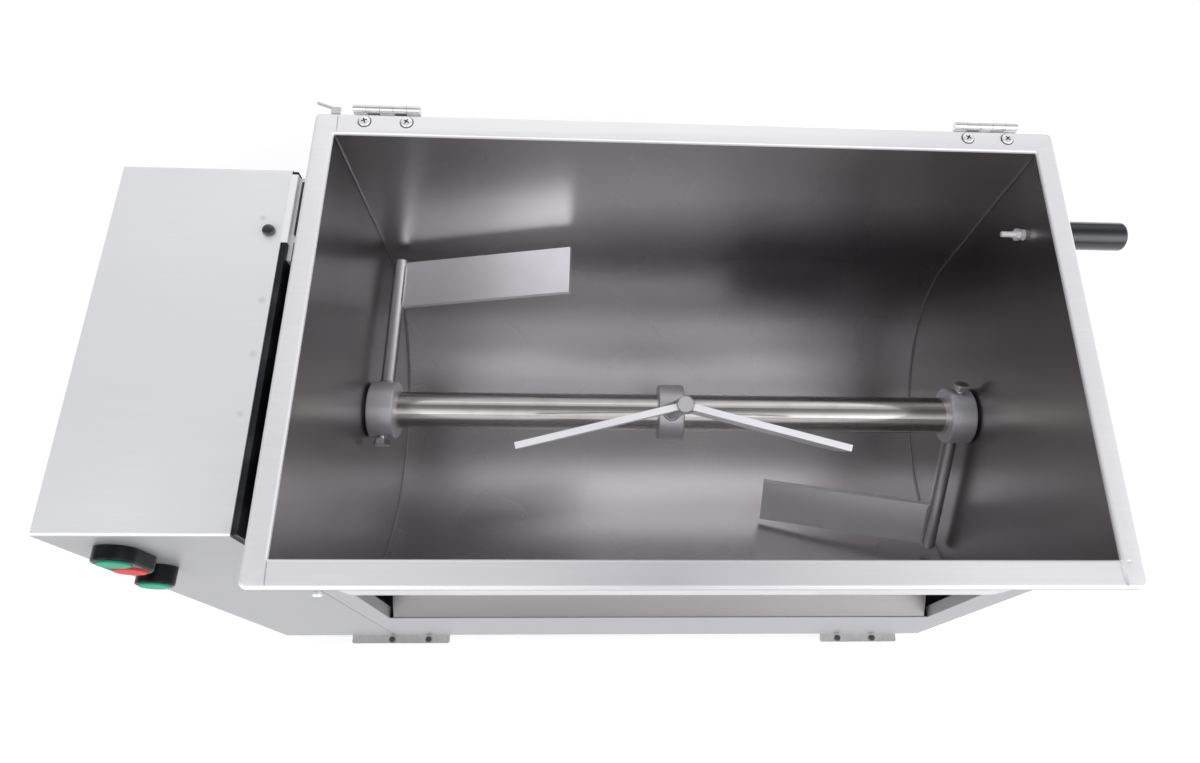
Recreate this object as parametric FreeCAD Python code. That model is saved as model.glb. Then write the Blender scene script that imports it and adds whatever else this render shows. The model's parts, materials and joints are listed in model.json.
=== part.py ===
import FreeCAD, Part
import math
import os

# Tilting paddle mixer for minced meat.
# X runs along the mixing shaft (drive cabinet at -X), Y runs to the back (hinge side of the lid), Z is up.
# The pieces are drawn with x = 0 and y = 0 at the centre of the tank's rim and z = 0 on the floor.
# The last step moves them so that the origin is on the floor under the middle of the whole machine.
# All lengths are in millimetres.

V = FreeCAD.Vector
X_AXIS = V(1, 0, 0)
Y_AXIS = V(0, 1, 0)
Z_AXIS = V(0, 0, 1)

# Heights from the floor
FOOT_HEIGHT = 20.0
FOOT_PLATE_SHEET = 4.0
BASE_Z = FOOT_HEIGHT + FOOT_PLATE_SHEET
BASE_TO_RIM = 618.0
RIM_TOP = BASE_Z + BASE_TO_RIM
SHAFT_DROP = 234.0
SHAFT_Z = RIM_TOP - SHAFT_DROP

# Tank
TANK_INNER_LENGTH = 662.0
TROUGH_R = 191.0
TROUGH_SHEET = 2.0
END_SHEET = 2.5
RIM_SHEET = 3.0
RIM_SIDE_WIDTH = 19.0
RIM_FRONT_WIDTH = 22.25
RIM_CORNER_R = 4.0
HEM_SHEET = 2.0
HEM_DEPTH = 9.0
END_X = TANK_INNER_LENGTH / 2
END_OUT_X = END_X + END_SHEET
RIM_X = END_X + RIM_SIDE_WIDTH
RIM_Y = TROUGH_R + RIM_FRONT_WIDTH
TROUGH_OUT_R = TROUGH_R + TROUGH_SHEET

# Fits, and how far joined forms and through cuts reach past each other
RUNNING_FIT = 0.05
SLIP_FIT = 0.3
SEAT_FIT = 0.02
JOIN = 1.0
CUT = 5.0

# Screw heads and nuts
HEX_CROWN_SHARE = 0.86
HEX_BEVEL_ANGLE = 30.0
PAN_HEAD_OUTLINE = ((1.0, 0.0), (1.0, 0.45), (0.9, 0.75), (0.66, 1.0), (0.0, 1.0))

# Mixing shaft and paddles
SHAFT_R = 20.0
COLLAR_WALL = 10.5
COLLAR_R = SHAFT_R + COLLAR_WALL
COLLAR_WIDTH = 28.0
COLLAR_WALL_GAP = 2.0
COLLAR_BEVEL = 1.5
MIDDLE_COLLAR_X = -6.0
ARM_R = 8.0
ARM_SEAT = 4.0
ARM_BEVEL = 1.0
ARM_TIP_CLEAR = 11.0
ARM_REACH = TROUGH_R - ARM_TIP_CLEAR
BLADE_TIP_CLEAR = 15.0
BLADE_DEPTH = 55.0
BLADE_OUTER_R = TROUGH_R - BLADE_TIP_CLEAR
BLADE_INNER_R = BLADE_OUTER_R - BLADE_DEPTH
BLADE_SHEET = 6.0
BLADE_ROOT_BITE = 0.6
OUTER_BLADE_LENGTH = 197.0
MIDDLE_BLADE_LENGTH = 152.0
BLADE_SWEEP = 14.0
LEFT_ARM_ANGLE = 0.0
MIDDLE_ARM_ANGLE = 105.0
RIGHT_ARM_ANGLE = 227.0
CLAMP_BOLT_R = 5.0
CLAMP_HEAD_R = 8.5
CLAMP_HEAD_HEIGHT = 6.4
CLAMP_BOLT_STANDOFF = 3.0

# Trunnions, bushes and seals
SHAFT_BUSH_WALL = 6.0
TRUNNION_WALL = 5.0
SEAL_STEP = 2.0
TRUNNION_BORE_R = SHAFT_R + SHAFT_BUSH_WALL
TRUNNION_R = TRUNNION_BORE_R + TRUNNION_WALL
TRUNNION_FLANGE_WIDTH = 29.0
TRUNNION_FLANGE_R = TRUNNION_R + TRUNNION_FLANGE_WIDTH
TRUNNION_FLANGE = 6.0
SEAL_R = TRUNNION_BORE_R + SEAL_STEP
SHAFT_BUSH_LENGTH = 15.0
SHAFT_END_GAP = 4.0

# Bearing housings
BUSH_WALL = 5.0
BUSH_R = TRUNNION_R + BUSH_WALL
HOUSING_WALL = 12.0
HOUSING_R = BUSH_R + HOUSING_WALL
HOUSING_FLANGE_WIDTH = 22.0
HOUSING_FLANGE_R = HOUSING_R + HOUSING_FLANGE_WIDTH
HOUSING_FLANGE = 9.0
HOUSING_FLANGE_GAP = 2.5
LEFT_HOUSING_END = END_OUT_X + TRUNNION_FLANGE + HOUSING_FLANGE_GAP
PLATE_BORE_CLEAR = 3.0
BEARING_BOLT_R = 5.0
BEARING_BOLT_HEAD_R = 9.0
BEARING_BOLT_HEAD_HEIGHT = 6.4
BEARING_BOLT_CIRCLE_R = (HOUSING_R + HOUSING_FLANGE_R) / 2 - JOIN

# Cabinet
TANK_TO_CABINET = 30.5
CABINET_WIDTH = 148.0
CABINET_RIGHT_X = -(END_OUT_X + TANK_TO_CABINET)
CABINET_LEFT_X = CABINET_RIGHT_X - CABINET_WIDTH
CABINET_TOP_DROP = 6.5
CABINET_TOP = RIM_TOP - CABINET_TOP_DROP
CABINET_FRONT_Y = -173.5
CABINET_BACK_Y = 155.0
FRONT_LEAN = 35.0
SKIN = 1.5
BEND_R = 2.5
LEAN_ANGLE = math.degrees(math.atan2(FRONT_LEAN, CABINET_TOP - BASE_Z))

# Frame
SIDE_PLATE = 5.0
DRIVE_PLATE_X = CABINET_RIGHT_X + SIDE_PLATE
FASCIA_GAP = 0.4
UPRIGHT_RISE = 84.0
UPRIGHT_TOP = SHAFT_Z + UPRIGHT_RISE
LEG_CLEAR = 3.5
LEG_INNER_X = END_OUT_X + LEG_CLEAR
RIGHT_UPRIGHT_DEPTH = 46.0
RIGHT_SKIN_X = END_OUT_X + RIGHT_UPRIGHT_DEPTH
RIGHT_CAP_WIDTH = 25.5
RIGHT_PLATE_GAP = 0.5
RIGHT_PLATE_X = RIGHT_SKIN_X - SKIN - RIGHT_PLATE_GAP
SILL_GAP = 28.0
WINDOW_BOTTOM = SHAFT_Z - TROUGH_OUT_R - SILL_GAP
LIP_DEPTH = 12.0
BASE_PAN_SHEET = 2.0
RAIL_HEIGHT = 40.0
RAIL_WIDTH = 30.0
RAIL_SHEET = 2.5
FRONT_RAIL_INSET = 23.5
BACK_RAIL_INSET = 43.0
GUARD_SLOPE = 36.0
GUARD_TILT_CLEAR = 3.0
GUARD_END_GAP = 4.0
GUARD_FLANGE = 15.0
TRUNNION_END_LEFT = -DRIVE_PLATE_X
TRUNNION_END_RIGHT = RIGHT_PLATE_X - SIDE_PLATE - SLIP_FIT

# Gears
GEAR_MODULE = 3.5
GEAR_TEETH = 51
PINION_TEETH = 17
PRESSURE_ANGLE = 20.0
DEDENDUM = 1.25
BACKLASH = 0.35
FLANK_STEPS = 4
GEAR_WIDTH = 25.0
GEAR_CENTRES = GEAR_MODULE * (GEAR_TEETH + PINION_TEETH) / 2
PINION_Z = SHAFT_Z - GEAR_CENTRES
PINION_SHAFT_R = 12.5
GEAR_WEB = 10.0
GEAR_HUB_WALL = 16.0
GEAR_HUB_R = SHAFT_R + GEAR_HUB_WALL
GEAR_RIM_WALL = 12.0
GEAR_HOLE_R = 12.0
GEAR_HOLES = 6
KEY_WIDTH = 12.0
KEY_HEIGHT = 8.0
KEY_LENGTH = 20.0
KEY_FIT = 0.02

# Drive carrier, with the shaft ends that stand in it
CARRIER_STANDOFF = 54.0
CARRIER_X = CABINET_RIGHT_X - CARRIER_STANDOFF
CARRIER_SHEET = 6.0
CARRIER_HALF_WIDTH = 112.0
CARRIER_FOOT = 53.0
CARRIER_HEAD = 112.0
CARRIER_BOTTOM = PINION_Z - CARRIER_FOOT
CARRIER_TOP = SHAFT_Z + CARRIER_HEAD
CARRIER_CORNER_R = 12.0
CARRIER_SHAFT_CLEAR = 4.0
CARRIER_PINION_CLEAR = 8.0
SPACER_R = 9.0
SPACER_INSET = 14.0
GEAR_CARRIER_GAP = 10.0
GEAR_X = CARRIER_X + CARRIER_SHEET + GEAR_CARRIER_GAP
OUTBOARD_R = 42.0
OUTBOARD_LENGTH = 27.0
OUTBOARD_FLANGE = 9.0
OUTBOARD_FLANGE_HALF = 52.0
OUTBOARD_CORNER_R = 14.0
SHAFT_END_PROUD = 7.0
SHAFT_LEFT_X = CARRIER_X - OUTBOARD_LENGTH - SHAFT_END_PROUD
PINION_SHAFT_DEPTH = 52.0
PINION_END_GAP = 8.0
PINION_SHAFT_LEFT_X = CARRIER_X - PINION_SHAFT_DEPTH
PINION_SHAFT_RIGHT_X = CABINET_RIGHT_X - PINION_END_GAP

# Gearbox and motor
GEARBOX_WALL_GAP = 17.0
GEARBOX_X0 = CABINET_LEFT_X + GEARBOX_WALL_GAP
GEARBOX_HALF_HEIGHT = 57.0
GEARBOX_FRONT_Y = -57.0
GEARBOX_CORNER_R = 16.0
GEARBOX_COVER_R = 44.0
GEARBOX_COVER = 6.0
WORM_OFFSET = 50.0
WORM_BARREL = 36.0
MOTOR_R = 49.0
MOTOR_FLANGE_STEP = 3.0
MOTOR_FLANGE_R = MOTOR_R + MOTOR_FLANGE_STEP
MOTOR_FLANGE = 8.0
MOTOR_WALL_GAP = 3.5
MOTOR_X = CABINET_LEFT_X + SKIN + MOTOR_WALL_GAP + MOTOR_FLANGE_R
MOTOR_TOP = PINION_Z - GEARBOX_HALF_HEIGHT
MOTOR_FLOOR_GAP = 34.0
COWL_LENGTH = 34.0
MOTOR_BOTTOM = BASE_Z + MOTOR_FLOOR_GAP + COWL_LENGTH
MOTOR_FIN_HEIGHT = 5.0
MOTOR_FIN_SHEET = 2.0
MOTOR_FIN_INSET = 10.0
MOTOR_FINS = 20
COWL_BEVEL = 5.0
COWL_SLOTS_EACH_SIDE = 2
COWL_SLOT_HALF = 34.0
COWL_SLOT_TAPER = 6.0
COWL_SLOT_PITCH = 12.0
COWL_SLOT_WIDTH = 5.0
COWL_SLOT_DEPTH = 5.0
TERMINAL_DROP = 20.0
TERMINAL_HALF_WIDTH = 38.0
TERMINAL_HEIGHT = 76.0
TERMINAL_DEPTH = 30.0
TERMINAL_LID = 8.0
TERMINAL_STEP = 1.5

# Contactor on its rail
CONTACTOR_INSET = 49.5
CONTACTOR_DROP = 97.5
CONTACTOR_WIDTH = 45.0
CONTACTOR_HEIGHT = 80.0
CONTACTOR_DEPTH = 60.5
CONTACTOR_STEP_DEPTH = 12.0
CONTACTOR_STEP_HEIGHT = 14.0
TOP_HAT_DEPTH = 7.5
TOP_HAT_HEIGHT = 35.0
TOP_HAT_LENGTH = 100.0

# Handle and hinges
HANDLE_Y = 129.0
HANDLE_DROP = 50.0
HANDLE_Z = RIM_TOP - HANDLE_DROP
GRIP_LENGTH = 96.5
HANDLE_END_X = END_OUT_X + GRIP_LENGTH
GRIP_R = 14.0
GRIP_ROUND = 4.0
GRIP_BORE_DEPTH = 30.0
STUD_R = 3.0
STUD_PROUD = 23.0
STUD_TIP_X = END_X - STUD_PROUD
NUT_R = 5.8
NUT_HEIGHT = 5.0
JAM_NUT_HEIGHT = 3.2
NUT_GAP = 1.6
HINGE_INSET = 46.0
HINGE_X = END_X - HINGE_INSET
HINGE_OFFSET = 5.2
HINGE_RISE = 0.2
HINGE_Y = RIM_Y + HINGE_OFFSET
HINGE_Z = RIM_TOP + HINGE_RISE
KNUCKLE_R = 3.8
KNUCKLE_COUNT = 5
HINGE_LENGTH = 62.0
KNUCKLE_GAP = 0.4
PIN_R = 1.75
LEAF_SHEET = 1.2
LEAF_TO_KNUCKLE = 1.5
FIXED_LEAF_DEPTH = 17.5
MOVING_LEAF_DEPTH = 34.0
HINGE_SCREW_PITCH = 38.5
HINGE_SCREW_INSET = 8.5
HINGE_SCREW_Y = RIM_Y - HINGE_SCREW_INSET
HINGE_SCREW_R = 2.5
HINGE_HEAD_R = 5.6
HINGE_HEAD_HEIGHT = 2.3
SCREW_BELOW = 9.0
SMALL_NUT_R = 4.6
SMALL_NUT_HEIGHT = 3.5

# Tab on the rim's rear left corner
TAB_INSET = 14.0
TAB_WIDTH = 8.5
TAB_REACH = 7.0
TAB_SHEET = 2.5
TAB_ARM_REACH = 12.5
TAB_ARM_SHEET = 2.0
TAB_ARM_INSET = 1.5
TAB_X0 = TAB_INSET - RIM_X

# Lid
LID_SHEET = 1.5
LID_BACK_REACH = 17.0
LID_EDGE_INSET = 1.0
LID_OVERLAP = 5.0
LID_SKIRT_CLEAR = 0.4
LID_HANDLE_SPAN = 110.0
LID_HANDLE_HEIGHT = 34.0
LID_HANDLE_R = 5.0
LID_HANDLE_BEND = 14.0
LID_HANDLE_FROM_EDGE = 40.0
LID_OPEN_ANGLE = 268.6

# Buttons, given as distances down the leaning front from the cabinet's top edge
BEZEL_INSET = 43.0
BEZEL_X = CABINET_LEFT_X + BEZEL_INSET
START_STOP_DROP = 60.0
OVAL_PITCH = 29.0
OVAL_R = 17.0
BEZEL_DEPTH = 12.5
JOG_DROP = 120.0
JOG_R = 16.0
JOG_DEPTH = 16.5
BUTTON_R = 12.8
BUTTON_PROUD = 1.2
BUTTON_TRAVEL = 4.0
BUTTON_FLOOR_GAP = 0.5
BUTTON_SKIRT = BEZEL_DEPTH - BUTTON_TRAVEL - BUTTON_FLOOR_GAP
BUTTON_BEVEL = 0.7
OVAL_BEVEL = 1.5
JOG_BEVEL = 1.2
STEM_R = 4.0
STEM_PROUD = 1.0
STEM_HOLE_R = 11.0
CONTACT_DEPTH = 38.0
CONTACT_GAP = 0.5
CONTACT_HALF_WIDTH = 15.0
CONTACT_MARGIN = 13.0
JOG_CONTACT_HALF = 14.0

# Service cover and cable gland
SERVICE_MARGIN = 18.0
SERVICE_OVERLAP = 9.0
SERVICE_FOOT = 104.0
SERVICE_HEAD = 75.5
SERVICE_BOTTOM = BASE_Z + SERVICE_FOOT
SERVICE_TOP = CABINET_TOP - SERVICE_HEAD
SERVICE_CORNER_R = 5.0
LOUVRE_COUNT = 8
LOUVRE_PITCH = 22.0
LOUVRE_HALF_LENGTH = 38.0
LOUVRE_HEIGHT = 6.0
LOUVRE_END_MARGIN = 24.0
LOUVRE_FLAT = 0.1
GLAND_INSET = 42.0
GLAND_RISE = 60.0
GLAND_X = CABINET_LEFT_X + GLAND_INSET
GLAND_Z = BASE_Z + GLAND_RISE
GLAND_R = 10.0
GLAND_INSIDE = 8.0
GLAND_NUT_R = 14.0
GLAND_NUT_HEIGHT = 7.0
GLAND_DOME_R = 12.0
GLAND_DOME_TIP_R = 9.0
GLAND_DOME_LENGTH = 12.0
CABLE_R = 5.0

# Single screws
FRONT_SCREW_INSET = 6.0
FRONT_SCREW_DROP = 28.0
FRONT_SCREW_X = CABINET_RIGHT_X - FRONT_SCREW_INSET
FRONT_SCREW_Z = SHAFT_Z - FRONT_SCREW_DROP
FRONT_SCREW_R = 5.0
FRONT_SCREW_HEIGHT = 5.0
TOP_PLUG_INSET = 11.0
TOP_PLUG_BACK = 64.0
TOP_PLUG_X = CABINET_RIGHT_X - TOP_PLUG_INSET
TOP_PLUG_Y = CABINET_BACK_Y - TOP_PLUG_BACK
TOP_PLUG_R = 5.5
TOP_PLUG_HEIGHT = 5.0
COVER_HEAD_R = 4.2
COVER_HEAD_HEIGHT = 2.6

# Feet, with the left plates longer because they also stand under the cabinet's edge
LEFT_FOOT_OFFSET = 22.0
RIGHT_FOOT_INSET = 92.5
FOOT_XS = (CABINET_RIGHT_X + LEFT_FOOT_OFFSET, RIGHT_SKIN_X - RIGHT_FOOT_INSET)
LEFT_PLATE_OUTER = 80.0
LEFT_PLATE_INNER = 54.0
RIGHT_PLATE_INNER = 50.0
RIGHT_PLATE_OUTER = 60.0
FOOT_PLATE_DEPTH = 70.0
FOOT_PLATE_CORNER_R = 3.0
FOOT_FRONT_SHOW = 11.0
FOOT_BACK_SHOW = 10.0
FOOT_FRONT_Y = CABINET_FRONT_Y - FRONT_LEAN - FOOT_FRONT_SHOW
FOOT_BACK_Y = CABINET_BACK_Y + FOOT_BACK_SHOW
FOOT_R = 24.0
FOOT_TIP_R = 20.0
FOOT_BOLT_PITCH = 50.0
FOOT_BOLT_R = 2.5
FOOT_BOLT_HEAD_R = 4.4
FOOT_BOLT_HEAD_HEIGHT = 3.5
FOOT_BOLT_EDGE = 0.6

# Rest bracket and pad
BRACKET_INSET = 5.0
BRACKET_LENGTH = 66.0
BRACKET_Y1 = CABINET_BACK_Y - BRACKET_INSET
BRACKET_Y0 = BRACKET_Y1 - BRACKET_LENGTH
BRACKET_TAIL = 18.0
BRACKET_SHEET = 4.0
BRACKET_REACH = 20.0
BRACKET_DROP = 13.0
BRACKET_HEIGHT = 42.0
BRACKET_BOLT_R = 3.0
BRACKET_BOLT_HEAD_R = 5.8
BRACKET_BOLT_HEAD_HEIGHT = 4.0
PAD_CLEAR = 0.3
PAD_INSET = 6.0


def front_y(z):
    """Outer face of the leaning front at height z."""
    return CABINET_FRONT_Y - FRONT_LEAN * (CABINET_TOP - z) / (CABINET_TOP - BASE_Z)


def behind_front(z):
    """First free Y behind the front sheets at height z."""
    return front_y(z) + SKIN / math.cos(math.radians(LEAN_ANGLE)) + SEAT_FIT


def box(x0, x1, y0, y1, z0, z1):
    """Axis-parallel block between two corners."""
    return Part.makeBox(x1 - x0, y1 - y0, z1 - z0, V(x0, y0, z0))


def rod_x(r, x0, x1, y=0.0, z=SHAFT_Z):
    """Round bar along X."""
    return Part.makeCylinder(r, x1 - x0, V(x0, y, z), X_AXIS)


def rod_y(r, y0, y1, x, z):
    """Round bar along Y."""
    return Part.makeCylinder(r, y1 - y0, V(x, y0, z), Y_AXIS)


def rod_z(r, z0, z1, x, y):
    """Round bar along Z."""
    return Part.makeCylinder(r, z1 - z0, V(x, y, z0), Z_AXIS)


def ring_x(r_in, r_out, x0, x1, y=0.0, z=SHAFT_Z):
    """Round tube along X."""
    return rod_x(r_out, x0, x1, y, z).cut(rod_x(r_in, x0, x1, y, z))


def fuse_all(shapes):
    """One solid from several that touch."""
    body = shapes[0]
    for shape in shapes[1:]:
        body = body.fuse(shape)
    return body.removeSplitter()


def rounded_wire(points, radius):
    """Closed wire through the points, with an arc of the given radius at each corner (0 keeps it sharp)."""
    radii = radius if isinstance(radius, list) else [radius] * len(points)
    joints = []
    for i, corner in enumerate(points):
        before = points[i - 1] - corner
        after = points[(i + 1) % len(points)] - corner
        before.normalize()
        after.normalize()
        if radii[i] <= 0:
            joints.append((corner, None, corner))
            continue
        half = before.getAngle(after) / 2
        reach = radii[i] / math.tan(half)
        middle = before + after
        middle.normalize()
        crown = corner + middle * (radii[i] / math.sin(half) - radii[i])
        joints.append((corner + before * reach, crown, corner + after * reach))
    edges = []
    for i, (start, crown, end) in enumerate(joints):
        if crown is not None:
            edges.append(Part.Arc(start, crown, end).toShape())
        following = joints[(i + 1) % len(joints)][0]
        edges.append(Part.LineSegment(end, following).toShape())
    return Part.Wire(edges)


def slab_x(profile, x0, x1, radius=0.0):
    """Solid with a (y, z) profile, between two X planes."""
    face = Part.Face(rounded_wire([V(x0, y, z) for y, z in profile], radius))
    return face.extrude(V(x1 - x0, 0, 0))


def slab_z(profile, z0, z1, radius=0.0):
    """Solid with an (x, y) profile, between two Z planes."""
    face = Part.Face(rounded_wire([V(x, y, z0) for x, y in profile], radius))
    return face.extrude(V(0, 0, z1 - z0))


def slab_y(profile, y0, y1, radius=0.0):
    """Solid with an (x, z) profile, between two Y planes."""
    face = Part.Face(rounded_wire([V(x, y0, z) for x, z in profile], radius))
    return face.extrude(V(0, y1 - y0, 0))


def rectangle(u0, u1, v0, v1):
    """Corners of a rectangle, as pairs."""
    return [(u0, v0), (u1, v0), (u1, v1), (u0, v1)]


def hexagon_bolt(head_r, head_height, shank_r, shank_length):
    """Hexagon-headed bolt: head on +Z from the origin, shank down -Z."""
    corners = [V(head_r * math.cos(math.radians(60 * i)), head_r * math.sin(math.radians(60 * i)), 0)
               for i in range(6)]
    head = Part.Face(Part.makePolygon(corners + corners[:1])).extrude(V(0, 0, head_height))
    top_r = head_r * HEX_CROWN_SHARE
    crown = Part.makeCone(top_r + head_height / math.tan(math.radians(HEX_BEVEL_ANGLE)), top_r, head_height)
    shank = Part.makeCylinder(shank_r, shank_length, V(0, 0, -shank_length))
    return head.common(crown).fuse(shank)


def hexagon_nut(across_r, height, bore_r):
    """Hexagon nut standing on the origin, with its bore along Z."""
    corners = [V(across_r * math.cos(math.radians(60 * i)), across_r * math.sin(math.radians(60 * i)), 0)
               for i in range(6)]
    block = Part.Face(Part.makePolygon(corners + corners[:1])).extrude(V(0, 0, height))
    return block.cut(Part.makeCylinder(bore_r, height))


def pan_head(r, height):
    """Low screw head on the origin, bevelled in two steps towards its top."""
    outline = [V(0, 0, 0)] + [V(r * across, 0, height * up) for across, up in PAN_HEAD_OUTLINE]
    return Part.Face(Part.makePolygon(outline + outline[:1])).revolve(V(0, 0, 0), Z_AXIS, 360)


def placed(shape, position, z_direction):
    """Copy of a shape made along +Z, moved so that its +Z points along z_direction."""
    moved = shape.copy()
    moved.Placement = FreeCAD.Placement(position, FreeCAD.Rotation(Z_AXIS, z_direction))
    return moved


def on_front(shape, x, drop):
    """Copy of a shape whose +Z is the front's outward normal and +Y runs up the slope.

    It is placed at x and at a distance down the slope from the cabinet's top edge.
    """
    turn = FreeCAD.Rotation(X_AXIS, 90 - LEAN_ANGLE)
    edge = V(x, front_y(CABINET_TOP), CABINET_TOP)
    moved = shape.copy()
    moved.Placement = FreeCAD.Placement(edge + turn.multVec(V(0, -drop, 0)), turn)
    return moved


def slope_drop(z):
    """Distance down the leaning front from the cabinet's top edge to height z."""
    return (CABINET_TOP - z) / math.cos(math.radians(LEAN_ANGLE))


# Tank: trough, end walls, rolled rim, trunnions

def trough_profile(r):
    """U-shaped outline of the tank at radius r, up to the underside of the rim."""
    top = RIM_TOP - RIM_SHEET
    arc = Part.Arc(V(0, -r, SHAFT_Z), V(0, 0, SHAFT_Z - r), V(0, r, SHAFT_Z)).toShape()
    lines = [(V(0, r, SHAFT_Z), V(0, r, top)), (V(0, r, top), V(0, -r, top)), (V(0, -r, top), V(0, -r, SHAFT_Z))]
    return Part.Face(Part.Wire([arc] + [Part.LineSegment(a, b).toShape() for a, b in lines]))


def make_trough():
    """Rolled trough sheet between the two end walls."""
    outer = trough_profile(TROUGH_OUT_R).extrude(V(2 * END_X, 0, 0))
    inner = trough_profile(TROUGH_R).extrude(V(2 * END_X, 0, 0))
    trough = outer.cut(inner)
    trough.translate(V(-END_X, 0, 0))
    return trough


def make_end_wall(side):
    """Flat end wall with a bore for the shaft seal; side is -1 or 1."""
    x0 = END_X if side > 0 else -END_OUT_X
    wall = trough_profile(TROUGH_OUT_R).extrude(V(END_SHEET, 0, 0))
    wall.translate(V(x0, 0, 0))
    wall = wall.cut(rod_x(SEAL_R, x0, x0 + END_SHEET))
    if side > 0:
        wall = wall.cut(rod_x(STUD_R + SEAT_FIT, x0, x0 + END_SHEET, HANDLE_Y, HANDLE_Z))
    return wall


def make_rim():
    """Flat rim flange with a folded hem at the front and at both ends."""
    z0 = RIM_TOP - RIM_SHEET
    flange = slab_z(rectangle(-RIM_X, RIM_X, -RIM_Y, RIM_Y), z0, RIM_TOP, RIM_CORNER_R)
    flange = flange.cut(box(-END_X, END_X, -TROUGH_R, TROUGH_R, z0, RIM_TOP))
    outer = slab_z(rectangle(-RIM_X, RIM_X, -RIM_Y, RIM_Y), RIM_TOP - HEM_DEPTH, z0, RIM_CORNER_R)
    inner_profile = rectangle(-RIM_X + HEM_SHEET, RIM_X - HEM_SHEET, -RIM_Y + HEM_SHEET, RIM_Y + 1)
    inner = slab_z(inner_profile, RIM_TOP - HEM_DEPTH, z0)
    rim = flange.fuse(outer.cut(inner)).removeSplitter()
    for x, y in hinge_screw_places():
        rim = rim.cut(rod_z(HINGE_SCREW_R + SEAT_FIT, z0, RIM_TOP, x, y))
    return rim


def make_trunnion(side):
    """Flanged tube welded to an end wall: the tank tilts on it and the shaft runs through it."""
    flange = ring_x(SEAL_R, TRUNNION_FLANGE_R, END_OUT_X, END_OUT_X + TRUNNION_FLANGE)
    end = TRUNNION_END_LEFT if side < 0 else TRUNNION_END_RIGHT
    tube = ring_x(TRUNNION_BORE_R, TRUNNION_R, END_OUT_X + TRUNNION_FLANGE, end)
    body = flange.fuse(tube).removeSplitter()
    return mirrored(body) if side < 0 else body


def mirrored(shape):
    """Mirror image of a shape in the YZ plane."""
    return shape.mirror(V(0, 0, 0), X_AXIS)


def make_shaft_seals():
    """Lip seal rings in the end walls."""
    seal = ring_x(SHAFT_R + RUNNING_FIT, SEAL_R - SEAT_FIT, END_X, END_OUT_X + TRUNNION_FLANGE)
    return [seal, mirrored(seal)]


def make_shaft_bushes():
    """Bronze bushes for the mixing shaft inside both trunnions."""
    bushes = []
    for end in (TRUNNION_END_LEFT, TRUNNION_END_RIGHT):
        bushes.append(ring_x(SHAFT_R + RUNNING_FIT, TRUNNION_BORE_R - SEAT_FIT, end - SHAFT_BUSH_LENGTH, end))
    bushes[0] = mirrored(bushes[0])
    return bushes


# Handle, hinges and the small tab on the tank


def hinge_screw_places():
    """Where the four hinge screws stand on the rear rim, as (x, y)."""
    places = []
    for side in (-1, 1):
        for step in (-0.5, 0.5):
            places.append((side * HINGE_X + step * HINGE_SCREW_PITCH, HINGE_SCREW_Y))
    return places


def make_handle():
    """Round grip, its stud through the end wall, and the two nuts inside the tank."""
    x0 = END_OUT_X
    grip = rod_x(GRIP_R, x0, HANDLE_END_X, HANDLE_Y, HANDLE_Z)
    end_edges = [e for e in grip.Edges if abs(e.BoundBox.XMin - HANDLE_END_X) < 0.01
                 and abs(e.BoundBox.XMax - HANDLE_END_X) < 0.01]
    grip = grip.makeFillet(GRIP_ROUND, end_edges)
    grip = grip.cut(rod_x(STUD_R + SEAT_FIT, x0, x0 + GRIP_BORE_DEPTH, HANDLE_Y, HANDLE_Z))
    stud = rod_x(STUD_R, STUD_TIP_X, x0 + GRIP_BORE_DEPTH, HANDLE_Y, HANDLE_Z)
    centre = V(END_X - JAM_NUT_HEIGHT, HANDLE_Y, HANDLE_Z)
    jam_nut = placed(hexagon_nut(NUT_R, JAM_NUT_HEIGHT, STUD_R + SEAT_FIT), centre, X_AXIS)
    centre = V(END_X - JAM_NUT_HEIGHT - NUT_GAP - NUT_HEIGHT, HANDLE_Y, HANDLE_Z)
    nut = placed(hexagon_nut(NUT_R, NUT_HEIGHT, STUD_R + SEAT_FIT), centre, X_AXIS)
    return grip, stud, [jam_nut, nut]


def knuckle_spans(x_centre, odd):
    """X spans of the odd or even knuckles of one hinge."""
    pitch = HINGE_LENGTH / KNUCKLE_COUNT
    spans = []
    for i in range(KNUCKLE_COUNT):
        if (i % 2 == 1) == odd:
            start = x_centre - HINGE_LENGTH / 2 + i * pitch
            spans.append((start + KNUCKLE_GAP / 2, start + pitch - KNUCKLE_GAP / 2))
    return spans


def make_fixed_leaf(x_centre):
    """Leaf screwed under the rear rim, with its outer and middle knuckles."""
    z1 = RIM_TOP - RIM_SHEET
    z0 = z1 - LEAF_SHEET
    x0 = x_centre - HINGE_LENGTH / 2
    leaf = box(x0, x0 + HINGE_LENGTH, RIM_Y - FIXED_LEAF_DEPTH, RIM_Y, z0, z1)
    parts = [leaf]
    for a, b in knuckle_spans(x_centre, odd=False):
        parts.append(box(a, b, RIM_Y - JOIN, HINGE_Y, z0, z1))
        parts.append(rod_x(KNUCKLE_R, a, b, HINGE_Y, HINGE_Z))
    body = fuse_all(parts)
    body = body.cut(rod_x(PIN_R + SEAT_FIT, x0, x0 + HINGE_LENGTH, HINGE_Y, HINGE_Z))
    for x, y in hinge_screw_places():
        body = body.cut(rod_z(HINGE_SCREW_R + SEAT_FIT, z0, z1, x, y))
    return body


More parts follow.
